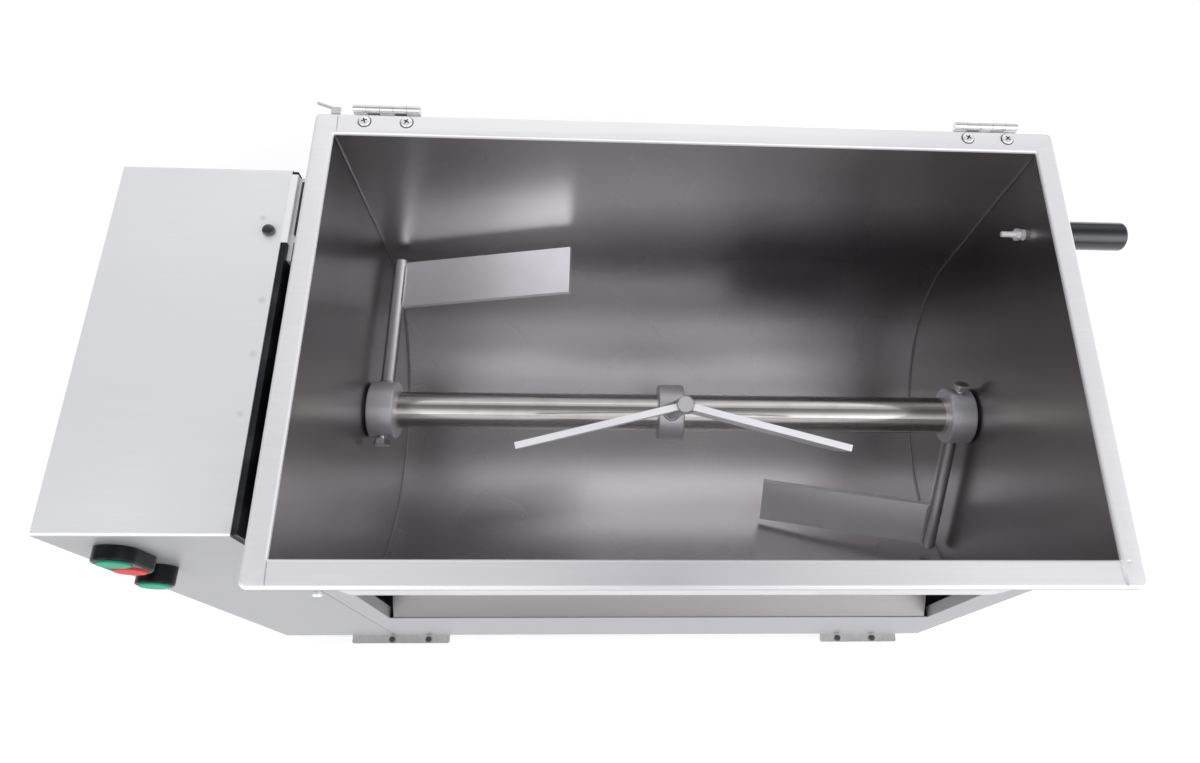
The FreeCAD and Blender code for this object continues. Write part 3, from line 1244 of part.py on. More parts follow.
def make_rear_fascia():
    """Upright rear sheet of the frame, with the same window."""
    y1 = CABINET_BACK_Y
    left = CABINET_RIGHT_X + FASCIA_GAP
    outline = [(left, BASE_Z), (RIGHT_SKIN_X, BASE_Z), (RIGHT_SKIN_X, UPRIGHT_TOP),
               (LEG_INNER_X, UPRIGHT_TOP), (LEG_INNER_X, WINDOW_BOTTOM), (-LEG_INNER_X, WINDOW_BOTTOM),
               (-LEG_INNER_X, UPRIGHT_TOP), (left, UPRIGHT_TOP)]
    parts = [slab_y(outline, y1 - SKIN, y1)]
    for x in (-LEG_INNER_X - SKIN, LEG_INNER_X):
        parts.append(box(x, x + SKIN, y1 - SKIN - LIP_DEPTH, y1 - SKIN, WINDOW_BOTTOM, UPRIGHT_TOP))
    return fuse_all(parts)


def make_belly_guard():
    """Sloping guard sheet from the front window's sill to just below the emptied tank's underside."""
    slope = math.radians(GUARD_SLOPE)
    y0 = behind_front(WINDOW_BOTTOM)
    z0 = WINDOW_BOTTOM
    z1 = SHAFT_Z - TROUGH_OUT_R - GUARD_TILT_CLEAR
    y1 = y0 + (z1 - z0) / math.tan(slope)
    across_y = math.sin(slope) * SKIN
    across_z = -math.cos(slope) * SKIN
    profile = [(y0, z0), (y1, z1), (y1 + across_y, z1 + across_z), (y0 + across_y, z0 + across_z),
               (y0 + SKIN, z0 - GUARD_FLANGE), (y0, z0 - GUARD_FLANGE)]
    half = LEG_INNER_X - GUARD_END_GAP
    return slab_x(profile, -half, half)


def make_base_pan():
    """Floor sheet under the cabinet and the frame."""
    z1 = BASE_Z + BASE_PAN_SHEET
    y0 = behind_front(z1)
    y1 = CABINET_BACK_Y - SKIN - SEAT_FIT
    return box(CABINET_LEFT_X + SKIN + SEAT_FIT, RIGHT_SKIN_X - SKIN - SEAT_FIT, y0, y1, BASE_Z, z1)


def make_floor_rails():
    """Two channels on the floor sheet that tie the side plates together."""
    z0 = BASE_Z + BASE_PAN_SHEET
    rails = []
    for y in (CABINET_FRONT_Y + FRONT_RAIL_INSET, CABINET_BACK_Y - BACK_RAIL_INSET):
        outer = box(DRIVE_PLATE_X, RIGHT_PLATE_X - SIDE_PLATE, y, y + RAIL_WIDTH, z0, z0 + RAIL_HEIGHT)
        inner = box(DRIVE_PLATE_X, RIGHT_PLATE_X - SIDE_PLATE, y + RAIL_SHEET, y + RAIL_WIDTH - RAIL_SHEET,
                    z0, z0 + RAIL_HEIGHT - RAIL_SHEET)
        rails.append(outer.cut(inner))
    return rails


def foot_plate_y_spans():
    """Y span of the front and rear foot plates."""
    return ((FOOT_FRONT_Y, FOOT_FRONT_Y + FOOT_PLATE_DEPTH), (FOOT_BACK_Y - FOOT_PLATE_DEPTH, FOOT_BACK_Y))


def foot_plate_x_spans():
    """X span of the left and right foot plates."""
    left, right = FOOT_XS
    return ((left - LEFT_PLATE_OUTER, left + LEFT_PLATE_INNER), (right - RIGHT_PLATE_INNER, right + RIGHT_PLATE_OUTER))


def make_foot_plates():
    """Four plates under the floor sheet, standing out a little at the front and back."""
    plates = []
    for x0, x1 in foot_plate_x_spans():
        for y0, y1 in foot_plate_y_spans():
            plate = slab_z(rectangle(x0, x1, y0, y1), FOOT_HEIGHT, BASE_Z, FOOT_PLATE_CORNER_R)
            for bolt_x, bolt_y in foot_bolt_places():
                plate = plate.cut(rod_z(FOOT_BOLT_R + SEAT_FIT, FOOT_HEIGHT, BASE_Z, bolt_x, bolt_y))
            plates.append(plate)
    return plates


def make_feet():
    """Four tapered rubber feet."""
    feet = []
    for x in FOOT_XS:
        for y0, y1 in foot_plate_y_spans():
            feet.append(Part.makeCone(FOOT_TIP_R, FOOT_R, FOOT_HEIGHT, V(x, (y0 + y1) / 2, 0), Z_AXIS))
    return feet


def make_rest_bracket():
    """Angle bracket on the drive plate that the rim rests on."""
    z1 = RIM_TOP - BRACKET_DROP
    shelf = box(DRIVE_PLATE_X, DRIVE_PLATE_X + BRACKET_REACH, BRACKET_Y0, BRACKET_Y1, z1 - BRACKET_SHEET, z1)
    back = box(DRIVE_PLATE_X, DRIVE_PLATE_X + BRACKET_SHEET, BRACKET_Y0 - BRACKET_TAIL, BRACKET_Y1,
               z1 - BRACKET_HEIGHT, z1)
    bracket = shelf.fuse(back).removeSplitter()
    return drill_x(bracket, bracket_bolt_places(), BRACKET_BOLT_R + SEAT_FIT,
                   DRIVE_PLATE_X, DRIVE_PLATE_X + BRACKET_SHEET)


def make_rest_pad():
    """Rubber pad between the bracket and the rim's hem."""
    z0 = RIM_TOP - BRACKET_DROP
    return box(DRIVE_PLATE_X + BRACKET_SHEET, DRIVE_PLATE_X + BRACKET_REACH, BRACKET_Y0 + PAD_INSET,
               BRACKET_Y1 - PAD_INSET, z0, RIM_TOP - HEM_DEPTH - PAD_CLEAR)


def bearing_bolt_places():
    """Bolt places round each trunnion housing, as (y, z)."""
    places = []
    for i in range(4):
        a = math.radians(45 + 90 * i)
        places.append((BEARING_BOLT_CIRCLE_R * math.cos(a), SHAFT_Z + BEARING_BOLT_CIRCLE_R * math.sin(a)))
    return places


def foot_bolt_places():
    """Bolt places in the strip of the front foot plates that stands out, as (x, y)."""
    y = FOOT_FRONT_Y + FOOT_BOLT_HEAD_R + FOOT_BOLT_EDGE
    return [(x + side * FOOT_BOLT_PITCH / 2, y) for x in FOOT_XS for side in (-1, 1)]


def bracket_bolt_places():
    """Bolt places of the rest bracket, as (y, z)."""
    z = RIM_TOP - BRACKET_DROP - BRACKET_HEIGHT / 2
    return [(BRACKET_Y0 - BRACKET_TAIL / 2, z), (BRACKET_Y1 - BRACKET_TAIL / 2, z)]


def drill_x(shape, places, r, x0, x1):
    """Shape with round holes along X at the (y, z) places."""
    for y, z in places:
        shape = shape.cut(rod_x(r, x0, x1, y, z))
    return shape


def make_bearing_housing(side):
    """Flanged bearing housing for a trunnion, bolted to its side plate."""
    seat = -DRIVE_PLATE_X if side < 0 else RIGHT_PLATE_X - SIDE_PLATE
    flange = rod_x(HOUSING_FLANGE_R, seat - HOUSING_FLANGE, seat)
    boss = rod_x(HOUSING_R, LEFT_HOUSING_END, seat)
    body = flange.fuse(boss).removeSplitter().cut(rod_x(BUSH_R, LEFT_HOUSING_END, seat))
    body = drill_x(body, bearing_bolt_places(), BEARING_BOLT_R + SEAT_FIT, seat - HOUSING_FLANGE, seat)
    return mirrored(body) if side < 0 else body


def make_trunnion_bushes():
    """Bronze bushes in both bearing housings."""
    bushes = []
    for seat in (-DRIVE_PLATE_X, RIGHT_PLATE_X - SIDE_PLATE):
        bushes.append(ring_x(TRUNNION_R + RUNNING_FIT, BUSH_R - SEAT_FIT, LEFT_HOUSING_END, seat))
    bushes[0] = mirrored(bushes[0])
    return bushes


def make_frame_bolts():
    """Hexagon bolts of the bearing housings, the front foot plates and the rest bracket."""
    solids = []
    bolt = hexagon_bolt(BEARING_BOLT_HEAD_R, BEARING_BOLT_HEAD_HEIGHT, BEARING_BOLT_R, HOUSING_FLANGE + SIDE_PLATE)
    for side, seat in ((1, DRIVE_PLATE_X + HOUSING_FLANGE), (-1, RIGHT_PLATE_X - SIDE_PLATE - HOUSING_FLANGE)):
        for y, z in bearing_bolt_places():
            solids.append(placed(bolt, V(seat, y, z), V(side, 0, 0)))
    bolt = hexagon_bolt(FOOT_BOLT_HEAD_R, FOOT_BOLT_HEAD_HEIGHT, FOOT_BOLT_R, FOOT_PLATE_SHEET)
    for x, y in foot_bolt_places():
        solids.append(placed(bolt, V(x, y, BASE_Z), Z_AXIS))
    bolt = hexagon_bolt(BRACKET_BOLT_HEAD_R, BRACKET_BOLT_HEAD_HEIGHT, BRACKET_BOLT_R, BRACKET_SHEET + SIDE_PLATE)
    for y, z in bracket_bolt_places():
        solids.append(placed(bolt, V(DRIVE_PLATE_X + BRACKET_SHEET, y, z), X_AXIS))
    return solids


def all_nodes():
    """Every sub-part by its node name."""
    grip, stud, nuts = make_handle()
    hinge_centres = (-HINGE_X, HINGE_X)
    blades = []
    (left_x, left_a), (middle_x, middle_a), (right_x, right_a) = collar_places()
    blades.append(make_blade(left_x, left_a, 1, OUTER_BLADE_LENGTH))
    blades.append(make_blade(middle_x, middle_a, -1, MIDDLE_BLADE_LENGTH))
    blades.append(make_blade(middle_x, middle_a, 1, MIDDLE_BLADE_LENGTH))
    blades.append(make_blade(right_x, right_a, -1, OUTER_BLADE_LENGTH))
    nodes = {
        "cabinet_shell": make_cabinet_shell(),
        "service_cover": make_service_cover(),
        "cover_screws": make_cover_screws(),
        "cabinet_top_plug": make_top_plug(),
        "drive_side_plate": make_drive_plate(),
        "right_side_plate": make_right_plate(),
        "right_side_skin": make_right_skin(),
        "front_fascia": make_front_fascia(),
        "rear_fascia": make_rear_fascia(),
        "belly_guard": make_belly_guard(),
        "base_pan": make_base_pan(),
        "floor_rails": make_floor_rails(),
        "foot_plates": make_foot_plates(),
        "rubber_feet": make_feet(),
        "frame_bolts": make_frame_bolts(),
        "rest_bracket": make_rest_bracket(),
        "rest_pad": make_rest_pad(),
        "left_bearing_housing": make_bearing_housing(-1),
        "right_bearing_housing": make_bearing_housing(1),
        "trunnion_bushes": make_trunnion_bushes(),
        "drive_carrier": make_drive_carrier(),
        "carrier_spacers": make_carrier_spacers(),
        "outboard_bearing": make_outboard_bearing(),
        "gearbox_housing": make_gearbox(),
        "motor_body": make_motor(),
        "motor_fan_cowl": make_fan_cowl(),
        "motor_terminal_box": make_terminal_box(),
        "contactor": make_contactor(),
        "switch_bezel": make_switch_bezel(),
        "jog_bezel": make_jog_bezel(),
        "contact_blocks": make_contact_blocks(),
        "cable_gland": make_cable_gland(),
        "start_button": make_button("start_button"),
        "stop_button": make_button("stop_button"),
        "jog_button": make_button("jog_button"),
        "trough_shell": make_trough(),
        "end_wall_left": make_end_wall(-1),
        "end_wall_right": make_end_wall(1),
        "rim_frame": make_rim(),
        "trunnions": [make_trunnion(-1), make_trunnion(1)],
        "shaft_seals": make_shaft_seals(),
        "shaft_bushes": make_shaft_bushes(),
        "handle_grip": grip,
        "handle_stud": stud,
        "handle_nuts": nuts,
        "hinge_fixed_leaves": [make_fixed_leaf(x) for x in hinge_centres],
        "hinge_pins": [rod_x(PIN_R, x - HINGE_LENGTH / 2, x + HINGE_LENGTH / 2, HINGE_Y, HINGE_Z)
                       for x in hinge_centres],
        "hinge_screws": make_hinge_screws(),
        "lid_safety_tab": make_tab(),
        "lid_panel": make_lid(),
        "lid_handle": make_lid_handle(),
        "hinge_moving_leaves": [lid_swung(make_moving_leaf(x)) for x in hinge_centres],
        "mixer_shaft": make_shaft(),
        "paddle_collars": [make_collar(x, a) for x, a in collar_places()],
        "paddle_arms": [make_arm(x, a) for x, a in collar_places()],
        "paddle_blades": blades,
        "clamp_bolts": [make_clamp_bolt(x, a) for x, a in collar_places()],
        "drive_gear": make_drive_gear(),
        "gear_key": key_block(0),
        "drive_pinion": make_pinion(),
    }
    return nodes


def footprint_centre(shapes):
    """Middle of everything's bounding box, on the floor."""
    bounds = Part.makeCompound(shapes).optimalBoundingBox()
    return V((bounds.XMin + bounds.XMax) / 2, (bounds.YMin + bounds.YMax) / 2, 0)


def export_all():
    """Move the origin under the middle of the whole machine and write one STEP file per node."""
    os.makedirs("parts", exist_ok=True)
    nodes = {}
    for name, shape in all_nodes().items():
        nodes[name] = Part.makeCompound(shape) if isinstance(shape, list) else shape
    centre = footprint_centre(list(nodes.values()))
    print("model origin moved by", round(centre.x, 4), round(centre.y, 4))
    for name, shape in nodes.items():
        shape.translate(centre * -1)
        shape.exportStep("parts/" + name + ".step")


export_all()
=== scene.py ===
"""Looks of a tilting paddle mixer for minced meat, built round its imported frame.

Lengths are metres. X runs along the mixing shaft, Y to the back and Z up, as in the frame.
"""
import json
import logging
import math
import random
from dataclasses import dataclass
from enum import Enum

import bmesh
import bpy
from mathutils import Matrix, Vector


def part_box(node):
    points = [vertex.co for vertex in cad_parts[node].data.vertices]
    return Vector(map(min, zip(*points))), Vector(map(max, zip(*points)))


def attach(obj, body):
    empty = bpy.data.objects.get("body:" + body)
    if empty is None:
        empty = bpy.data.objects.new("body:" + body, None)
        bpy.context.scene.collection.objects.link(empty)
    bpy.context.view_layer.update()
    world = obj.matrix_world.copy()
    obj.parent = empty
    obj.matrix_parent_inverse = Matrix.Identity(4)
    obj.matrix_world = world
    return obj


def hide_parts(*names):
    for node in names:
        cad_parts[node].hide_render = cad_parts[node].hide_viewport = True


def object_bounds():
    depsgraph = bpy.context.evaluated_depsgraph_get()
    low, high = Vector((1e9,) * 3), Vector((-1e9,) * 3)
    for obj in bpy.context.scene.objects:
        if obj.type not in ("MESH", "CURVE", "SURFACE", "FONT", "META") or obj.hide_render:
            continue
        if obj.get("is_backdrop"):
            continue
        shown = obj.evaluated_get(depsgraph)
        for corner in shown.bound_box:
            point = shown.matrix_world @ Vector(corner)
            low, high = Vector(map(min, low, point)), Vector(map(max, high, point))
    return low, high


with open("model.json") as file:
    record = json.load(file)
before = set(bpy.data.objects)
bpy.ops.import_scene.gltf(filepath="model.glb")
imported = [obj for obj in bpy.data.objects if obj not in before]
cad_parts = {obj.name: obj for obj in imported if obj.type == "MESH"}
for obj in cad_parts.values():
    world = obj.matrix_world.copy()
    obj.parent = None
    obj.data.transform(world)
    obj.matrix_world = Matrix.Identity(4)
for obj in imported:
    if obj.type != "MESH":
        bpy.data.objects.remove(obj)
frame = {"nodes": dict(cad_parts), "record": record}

log = logging.getLogger("meat_mixer")
MM = 0.001
WELD_DISTANCE = 1e-5
Colour = tuple[float, float, float]
Point = tuple[float, float, float]


class Body(Enum):
    """Rigid bodies of the frame."""

    FRAME = "frame"
    TANK = "tank"
    LID = "lid"
    AGITATOR = "agitator"
    PINION = "pinion"
    START = "start_button"
    STOP = "stop_button"
    JOG = "jog_button"


class Grain(Enum):
    """Direction of a sheet's brushing, as how far the grain pattern is squeezed along X, Y and Z."""

    ALONG_X = (0.012, 1.0, 1.0)
    ALONG_Y = (1.0, 0.012, 1.0)
    ALONG_Z = (1.0, 1.0, 0.012)
    ROUND_X = (1.0, 0.06, 0.06)
    NONE = (1.0, 1.0, 1.0)


# Node trees

class NodeSheet:
    """A material's node tree with short calls for the nodes used here."""

    def __init__(self, name: str) -> None:
        """Make an empty material with a shader and an output.

        Args:
            name: The material's name.
        """
        self.material = bpy.data.materials.new(name)
        self.material.use_nodes = True
        self.tree = self.material.node_tree
        self.tree.nodes.clear()
        self.output = self.tree.nodes.new("ShaderNodeOutputMaterial")
        self.shader = self.tree.nodes.new("ShaderNodeBsdfPrincipled")
        self.tree.links.new(self.shader.outputs["BSDF"], self.output.inputs["Surface"])
        self.places = self.tree.nodes.new("ShaderNodeTexCoord").outputs["Object"]

    def node(self, kind: str, **values: object) -> bpy.types.Node:
        """Add a node.

        Args:
            kind: The node's type name.
            values: Settings of the node itself.

        Returns:
            The new node.
        """
        made = self.tree.nodes.new(kind)
        for name, value in values.items():
            setattr(made, name, value)
        return made

    def link(self, source: bpy.types.NodeSocket, target: bpy.types.NodeSocket) -> None:
        """Join two sockets."""
        self.tree.links.new(source, target)

    def set(self, **values: object) -> None:
        """Set uniform values on the shader's own sockets, with _ for a blank in the socket's name."""
        for name, value in values.items():
            self.shader.inputs[name.replace("_", " ")].default_value = value

    def stretched(self, scale: Point) -> bpy.types.NodeSocket:
        """Object coordinates times a scale.

        Args:
            scale: Factor along each axis.

        Returns:
            The scaled coordinates.
        """
        mapping = self.node("ShaderNodeMapping")
        mapping.inputs["Scale"].default_value = scale
        self.link(self.places, mapping.inputs["Vector"])
        return mapping.outputs["Vector"]

    def noise(self, vector: bpy.types.NodeSocket, scale: float, detail: float = 2.0,
              roughness: float = 0.5) -> bpy.types.NodeSocket:
        """Noise pattern.

        Args:
            vector: Where to read it.
            scale: Pattern repeats per metre.
            detail: Number of finer layers.
            roughness: Strength of the finer layers.

        Returns:
            The noise value, about 0 to 1.
        """
        made = self.node("ShaderNodeTexNoise")
        made.inputs["Scale"].default_value = scale
        made.inputs["Detail"].default_value = detail
        made.inputs["Roughness"].default_value = roughness
        self.link(vector, made.inputs["Vector"])
        return made.outputs["Fac"]

    def span(self, value: bpy.types.NodeSocket, low_in: float, high_in: float, low: float,
             high: float) -> bpy.types.NodeSocket:
        """Map a value from one range to another, held at its ends.

        Args:
            value: The value to map.
            low_in: Start of its range.
            high_in: End of its range.
            low: Result at the start.
            high: Result at the end.

        Returns:
            The mapped value.
        """
        made = self.node("ShaderNodeMapRange")
        for name, number in (("From Min", low_in), ("From Max", high_in), ("To Min", low), ("To Max", high)):
            made.inputs[name].default_value = number
        self.link(value, made.inputs["Value"])
        return made.outputs["Result"]

    def reckon(self, operation: str, first: object, second: object) -> bpy.types.NodeSocket:
        """Arithmetic on two values, each a socket or a number.

        Args:
            operation: The Math node's operation.
            first: Left value.
            second: Right value.

        Returns:
            The result.
        """
        made = self.node("ShaderNodeMath", operation=operation)
        for i, value in enumerate((first, second)):
            if isinstance(value, (int, float)):
                made.inputs[i].default_value = value
            else:
                self.link(value, made.inputs[i])
        return made.outputs["Value"]

    def blend(self, share: bpy.types.NodeSocket, first: object, second: object) -> bpy.types.NodeSocket:
        """Mix two colours, each a socket or a colour.

        Args:
            share: 0 gives the first, 1 the second.
            first: First colour.
            second: Second colour.

        Returns:
            The mixed colour.
        """
        made = self.node("ShaderNodeMix", data_type="RGBA")
        self.link(share, made.inputs[0])
        for i, value in ((6, first), (7, second)):
            if isinstance(value, tuple):
                made.inputs[i].default_value = (*value, 1.0)
            else:
                self.link(value, made.inputs[i])
        return made.outputs[2]

    def near(self, centre: Point, radius: float, flatten: Point = (1.0, 1.0, 1.0)) -> bpy.types.NodeSocket:
        """Soft round field about a point.

        Args:
            centre: The field's middle.
            radius: Where it ends.
            flatten: Factor on the distance along each axis.

        Returns:
            1 at the middle, 0 outside.
        """
        offset = self.node("ShaderNodeVectorMath", operation="SUBTRACT")
        self.link(self.places, offset.inputs[0])
        offset.inputs[1].default_value = centre
        scaled = self.node("ShaderNodeVectorMath", operation="MULTIPLY")
        self.link(offset.outputs["Vector"], scaled.inputs[0])
        scaled.inputs[1].default_value = flatten
        length = self.node("ShaderNodeVectorMath", operation="LENGTH")
        self.link(scaled.outputs["Vector"], length.inputs[0])
        return self.span(length.outputs["Value"], 0.0, radius, 1.0, 0.0)

    def bump(self, height: bpy.types.NodeSocket, depth: float, strength: float = 1.0) -> None:
        """Drive the shader's normal by a height field.

        Args:
            height: The field, 0 to 1.
            depth: Its real height.
            strength: Share of the effect.
        """
        made = self.node("ShaderNodeBump")
        made.inputs["Strength"].default_value = strength
        made.inputs["Distance"].default_value = depth
        self.link(height, made.inputs["Height"])
        self.link(made.outputs["Normal"], self.shader.inputs["Normal"])


# Finishes

@dataclass(frozen=True)
class Spot:
    """A heat tint on a sheet, or a patch of painted shade or painted highlight."""

    centre: Point
    radius: float
    tint: Colour
    strength: float = 0.6
    flatten: Point = (1.0, 1.0, 1.0)


@dataclass(frozen=True)
class BrushedSteel:
    """Stainless sheet with a directional grain, faint clouds, optional heat tints, optional patches of painted shade or
    painted highlight, and optional painted shade below a height.
    """

    name: str
    tone: Colour
    grain: Grain = Grain.ALONG_X
    lines_per_metre: float = 900.0
    rough_low: float = 0.24
    rough_high: float = 0.36
    cloud: float = 0.08
    clouds_per_metre: float = 7.0
    line_contrast: float = 0.06
    depth: float = 0.00002
    wave: float = 0.0
    metal: float = 1.0
    spots: tuple[Spot, ...] = ()
    shaded_tone_share: float = 1.0
    shaded_below: float = 0.0

    def make(self) -> bpy.types.Material:
        """Build the material.

        Returns:
            The new material.
        """
        sheet = NodeSheet(self.name)
        sheet.set(Metallic=self.metal)
        lines = sheet.noise(sheet.stretched(self.grain.value), self.lines_per_metre, 3.0, 0.6)
        clouds = sheet.noise(sheet.places, self.clouds_per_metre, 1.0, 0.4)
        dark = tuple(c * (1 - self.cloud) for c in self.tone)
        bright = tuple(min(c * (1 + self.cloud), 1.0) for c in self.tone)
        colour = sheet.blend(sheet.span(clouds, 0.15, 0.85, 0.0, 1.0), dark, bright)
        line_tone = tuple(c * (1 - self.line_contrast) for c in (1.0, 1.0, 1.0))
        shade = sheet.blend(sheet.span(lines, 0.35, 0.65, 0.0, 1.0), line_tone, (1.0, 1.0, 1.0))
        mixed = sheet.node("ShaderNodeMix", data_type="RGBA", blend_type="MULTIPLY")
        mixed.inputs[0].default_value = 1.0
        sheet.link(colour, mixed.inputs[6])
        sheet.link(shade, mixed.inputs[7])
        colour = mixed.outputs[2]
        # Spots blend in heat tints and patches of painted shade or painted highlight.
        for spot in self.spots:
            field = sheet.near(spot.centre, spot.radius, spot.flatten)
            ragged = sheet.reckon("MULTIPLY", field, sheet.span(clouds, 0.15, 0.85, 0.5, 1.3))
            share = sheet.reckon("MULTIPLY", ragged, spot.strength)
            colour = sheet.blend(share, colour, spot.tint)
        # Painted shade: below the given height the colour is dimmed, so upright faces and edges read darker than the
        # lit top.
        if self.shaded_below > 0:
            height = sheet.node("ShaderNodeSeparateXYZ")
            sheet.link(sheet.places, height.inputs[0])
            share = sheet.span(height.outputs["Z"], self.shaded_below - 0.0015, self.shaded_below, 0.0, 1.0)
            dim = tuple(c * self.shaded_tone_share for c in self.tone)
            colour = sheet.blend(share, dim, colour)
        sheet.link(colour, sheet.shader.inputs["Base Color"])
        rough = sheet.reckon("ADD", sheet.span(lines, 0.3, 0.7, self.rough_low, self.rough_high),
                             sheet.span(clouds, 0.15, 0.85, -0.03, 0.03))
        sheet.link(rough, sheet.shader.inputs["Roughness"])
        relief = sheet.reckon("ADD", sheet.reckon("MULTIPLY", lines, self.depth),
                              sheet.reckon("MULTIPLY", clouds, self.wave))
        sheet.bump(relief, 1.0)
        return sheet.material


@dataclass(frozen=True)
class BlastedSteel:
    """Matt steel with a fine pitted skin."""

    name: str
    tone: Colour
    rough: float = 0.52
    pits_per_metre: float = 1400.0
    metallic: float = 1.0
    mottle: float = 0.10
    depth: float = 0.00006

    def make(self) -> bpy.types.Material:
        """Build the material.

        Returns:
            The new material.
        """
        sheet = NodeSheet(self.name)
        sheet.set(Metallic=self.metallic)
        pits = sheet.noise(sheet.places, self.pits_per_metre, 4.0, 0.7)
        clouds = sheet.noise(sheet.places, 22.0, 3.0, 0.5)
        dark = tuple(c * (1 - self.mottle) for c in self.tone)
        bright = tuple(min(c * (1 + self.mottle), 1.0) for c in self.tone)
        both = sheet.reckon("ADD", sheet.reckon("MULTIPLY", clouds, 0.65), sheet.reckon("MULTIPLY", pits, 0.35))
        sheet.link(sheet.blend(sheet.span(both, 0.35, 0.65, 0.0, 1.0), dark, bright),
                   sheet.shader.inputs["Base Color"])
        sheet.link(sheet.span(pits, 0.3, 0.7, self.rough - 0.05, self.rough + 0.07),
                   sheet.shader.inputs["Roughness"])
        sheet.bump(pits, self.depth)
        return sheet.material


@dataclass(frozen=True)
class TurnedMetal:
    """Ground, turned or plated metal with fine rings or draw lines."""

    name: str
    tone: Colour
    grain: Grain = Grain.NONE
    rough: float = 0.12
    stain: Colour = (0.35, 0.33, 0.30)
    stain_share: float = 0.25
    lines_per_metre: float = 1500.0
    depth: float = 0.00001

    def make(self) -> bpy.types.Material:
        """Build the material.

        Returns:
            The new material.
        """
        sheet = NodeSheet(self.name)
        sheet.set(Metallic=1.0)
        lines = sheet.noise(sheet.stretched(self.grain.value), self.lines_per_metre, 3.0, 0.6)
        clouds = sheet.noise(sheet.places, 35.0, 4.0, 0.6)
        share = sheet.span(clouds, 0.5, 0.75, 0.0, self.stain_share)
        sheet.link(sheet.blend(share, self.tone, self.stain), sheet.shader.inputs["Base Color"])
        rough = sheet.reckon("ADD", sheet.span(lines, 0.3, 0.7, self.rough * 0.8, self.rough * 1.3),
                             sheet.span(clouds, 0.4, 0.8, 0.0, 0.08))
        sheet.link(rough, sheet.shader.inputs["Roughness"])
        sheet.bump(lines, self.depth)
        return sheet.material


@dataclass(frozen=True)
class RecessedSteel:
    """Plated screw steel whose cross recess is painted dark as shade; sizes from the head's own seat, in millimetres.
    """

    name: str
    tone: Colour
    head_radius: float
    head_height: float
    rough: float = 0.30
    painted_recess_shade: Colour = (0.02, 0.02, 0.022)
    metal: float = 0.7

    def make(self) -> bpy.types.Material:
        """Build the material.

        Returns:
            The new material.
        """
        sheet = NodeSheet(self.name)
        sheet.set(Metallic=self.metal, Roughness=self.rough)
        axes = sheet.node("ShaderNodeSeparateXYZ")
        sheet.link(sheet.places, axes.inputs[0])
        squares = [sheet.reckon("MULTIPLY", axes.outputs[axis], axes.outputs[axis]) for axis in ("X", "Y")]
        reach = sheet.reckon("POWER", sheet.reckon("ADD", *squares), 0.5)
        radius, height = self.head_radius * MM, self.head_height * MM
        # Painted shade: the colour goes near-black inside the cross recess.
        inside = sheet.span(reach, radius * 0.56, radius * 0.68, 1.0, 0.0)
        below = sheet.span(axes.outputs["Z"], height * 0.84, height * 0.93, 1.0, 0.0)
        sheet.link(sheet.blend(sheet.reckon("MULTIPLY", inside, below), self.tone, self.painted_recess_shade),
                   sheet.shader.inputs["Base Color"])
        sheet.bump(sheet.noise(sheet.places, 900.0), 0.000004)
        return sheet.material


@dataclass(frozen=True)
class Moulded:
    """Plastic or rubber with a faint moulded skin and patches of dust."""

    name: str
    tone: Colour
    rough: float = 0.30
    coat: float = 0.0
    grain_per_metre: float = 900.0
    depth: float = 0.00002
    dust: float = 0.06
    ior: float = 1.5

    def make(self) -> bpy.types.Material:
        """Build the material.

        Returns:
            The new material.
        """
        sheet = NodeSheet(self.name)
        sheet.set(Metallic=0.0, Coat_Weight=self.coat, Coat_Roughness=0.08, IOR=self.ior)
        skin = sheet.noise(sheet.places, self.grain_per_metre, 3.0, 0.6)
        clouds = sheet.noise(sheet.places, 60.0, 3.0, 0.5)
        dusty = tuple(c + (0.45 - c) * self.dust for c in self.tone)
        sheet.link(sheet.blend(sheet.span(clouds, 0.45, 0.75, 0.0, 1.0), self.tone, dusty),
                   sheet.shader.inputs["Base Color"])
        sheet.link(sheet.span(clouds, 0.3, 0.7, self.rough * 0.85, self.rough * 1.2),
                   sheet.shader.inputs["Roughness"])
        sheet.bump(skin, self.depth)
        return sheet.material


@dataclass(frozen=True)
class PaintedMetal:
    """Powder coat or enamel with a light orange-peel skin."""

    name: str
    tone: Colour
    rough: float = 0.38
    peel_per_metre: float = 380.0
    depth: float = 0.00005
    wear: float = 0.15

    def make(self) -> bpy.types.Material:
        """Build the material.

        Returns:
            The new material.
        """
        sheet = NodeSheet(self.name)
        sheet.set(Metallic=0.0, IOR=1.35)
        peel = sheet.noise(sheet.places, self.peel_per_metre, 2.0, 0.5)
        clouds = sheet.noise(sheet.places, 18.0, 4.0, 0.6)
        rubbed = tuple(c + (0.30 - c) * self.wear for c in self.tone)
        sheet.link(sheet.blend(sheet.span(clouds, 0.5, 0.75, 0.0, 1.0), self.tone, rubbed),
                   sheet.shader.inputs["Base Color"])
        sheet.link(sheet.span(clouds, 0.3, 0.7, self.rough * 0.85, self.rough * 1.25),
                   sheet.shader.inputs["Roughness"])
        sheet.bump(peel, self.depth)
        return sheet.material


# Shaping

def joint_place(name: str) -> Vector:
    """Place of a joint's axis, from the frame's record.

    Args:
        name: The joint's name.

    Returns:
        A point on its axis.
    """
    joints = frame["record"]["behaviour"]["joints"]
    return Vector(next(joint["pos_m"] for joint in joints if joint["name"] == name))


SHAFT_AXIS = joint_place("agitator_spin")


def at(x: float, y: float, z: float) -> Vector:
    """Point given in millimetres: x and y from the shaft's middle, z from the floor."""
    return Vector((SHAFT_AXIS.x + x * MM, SHAFT_AXIS.y + y * MM, z * MM))


def along(axis: Vector, place: Vector) -> Matrix:
    """Placement whose own Z runs along an axis from a place."""
    return Matrix.Translation(place) @ axis.to_track_quat("Z", "Y").to_matrix().to_4x4()


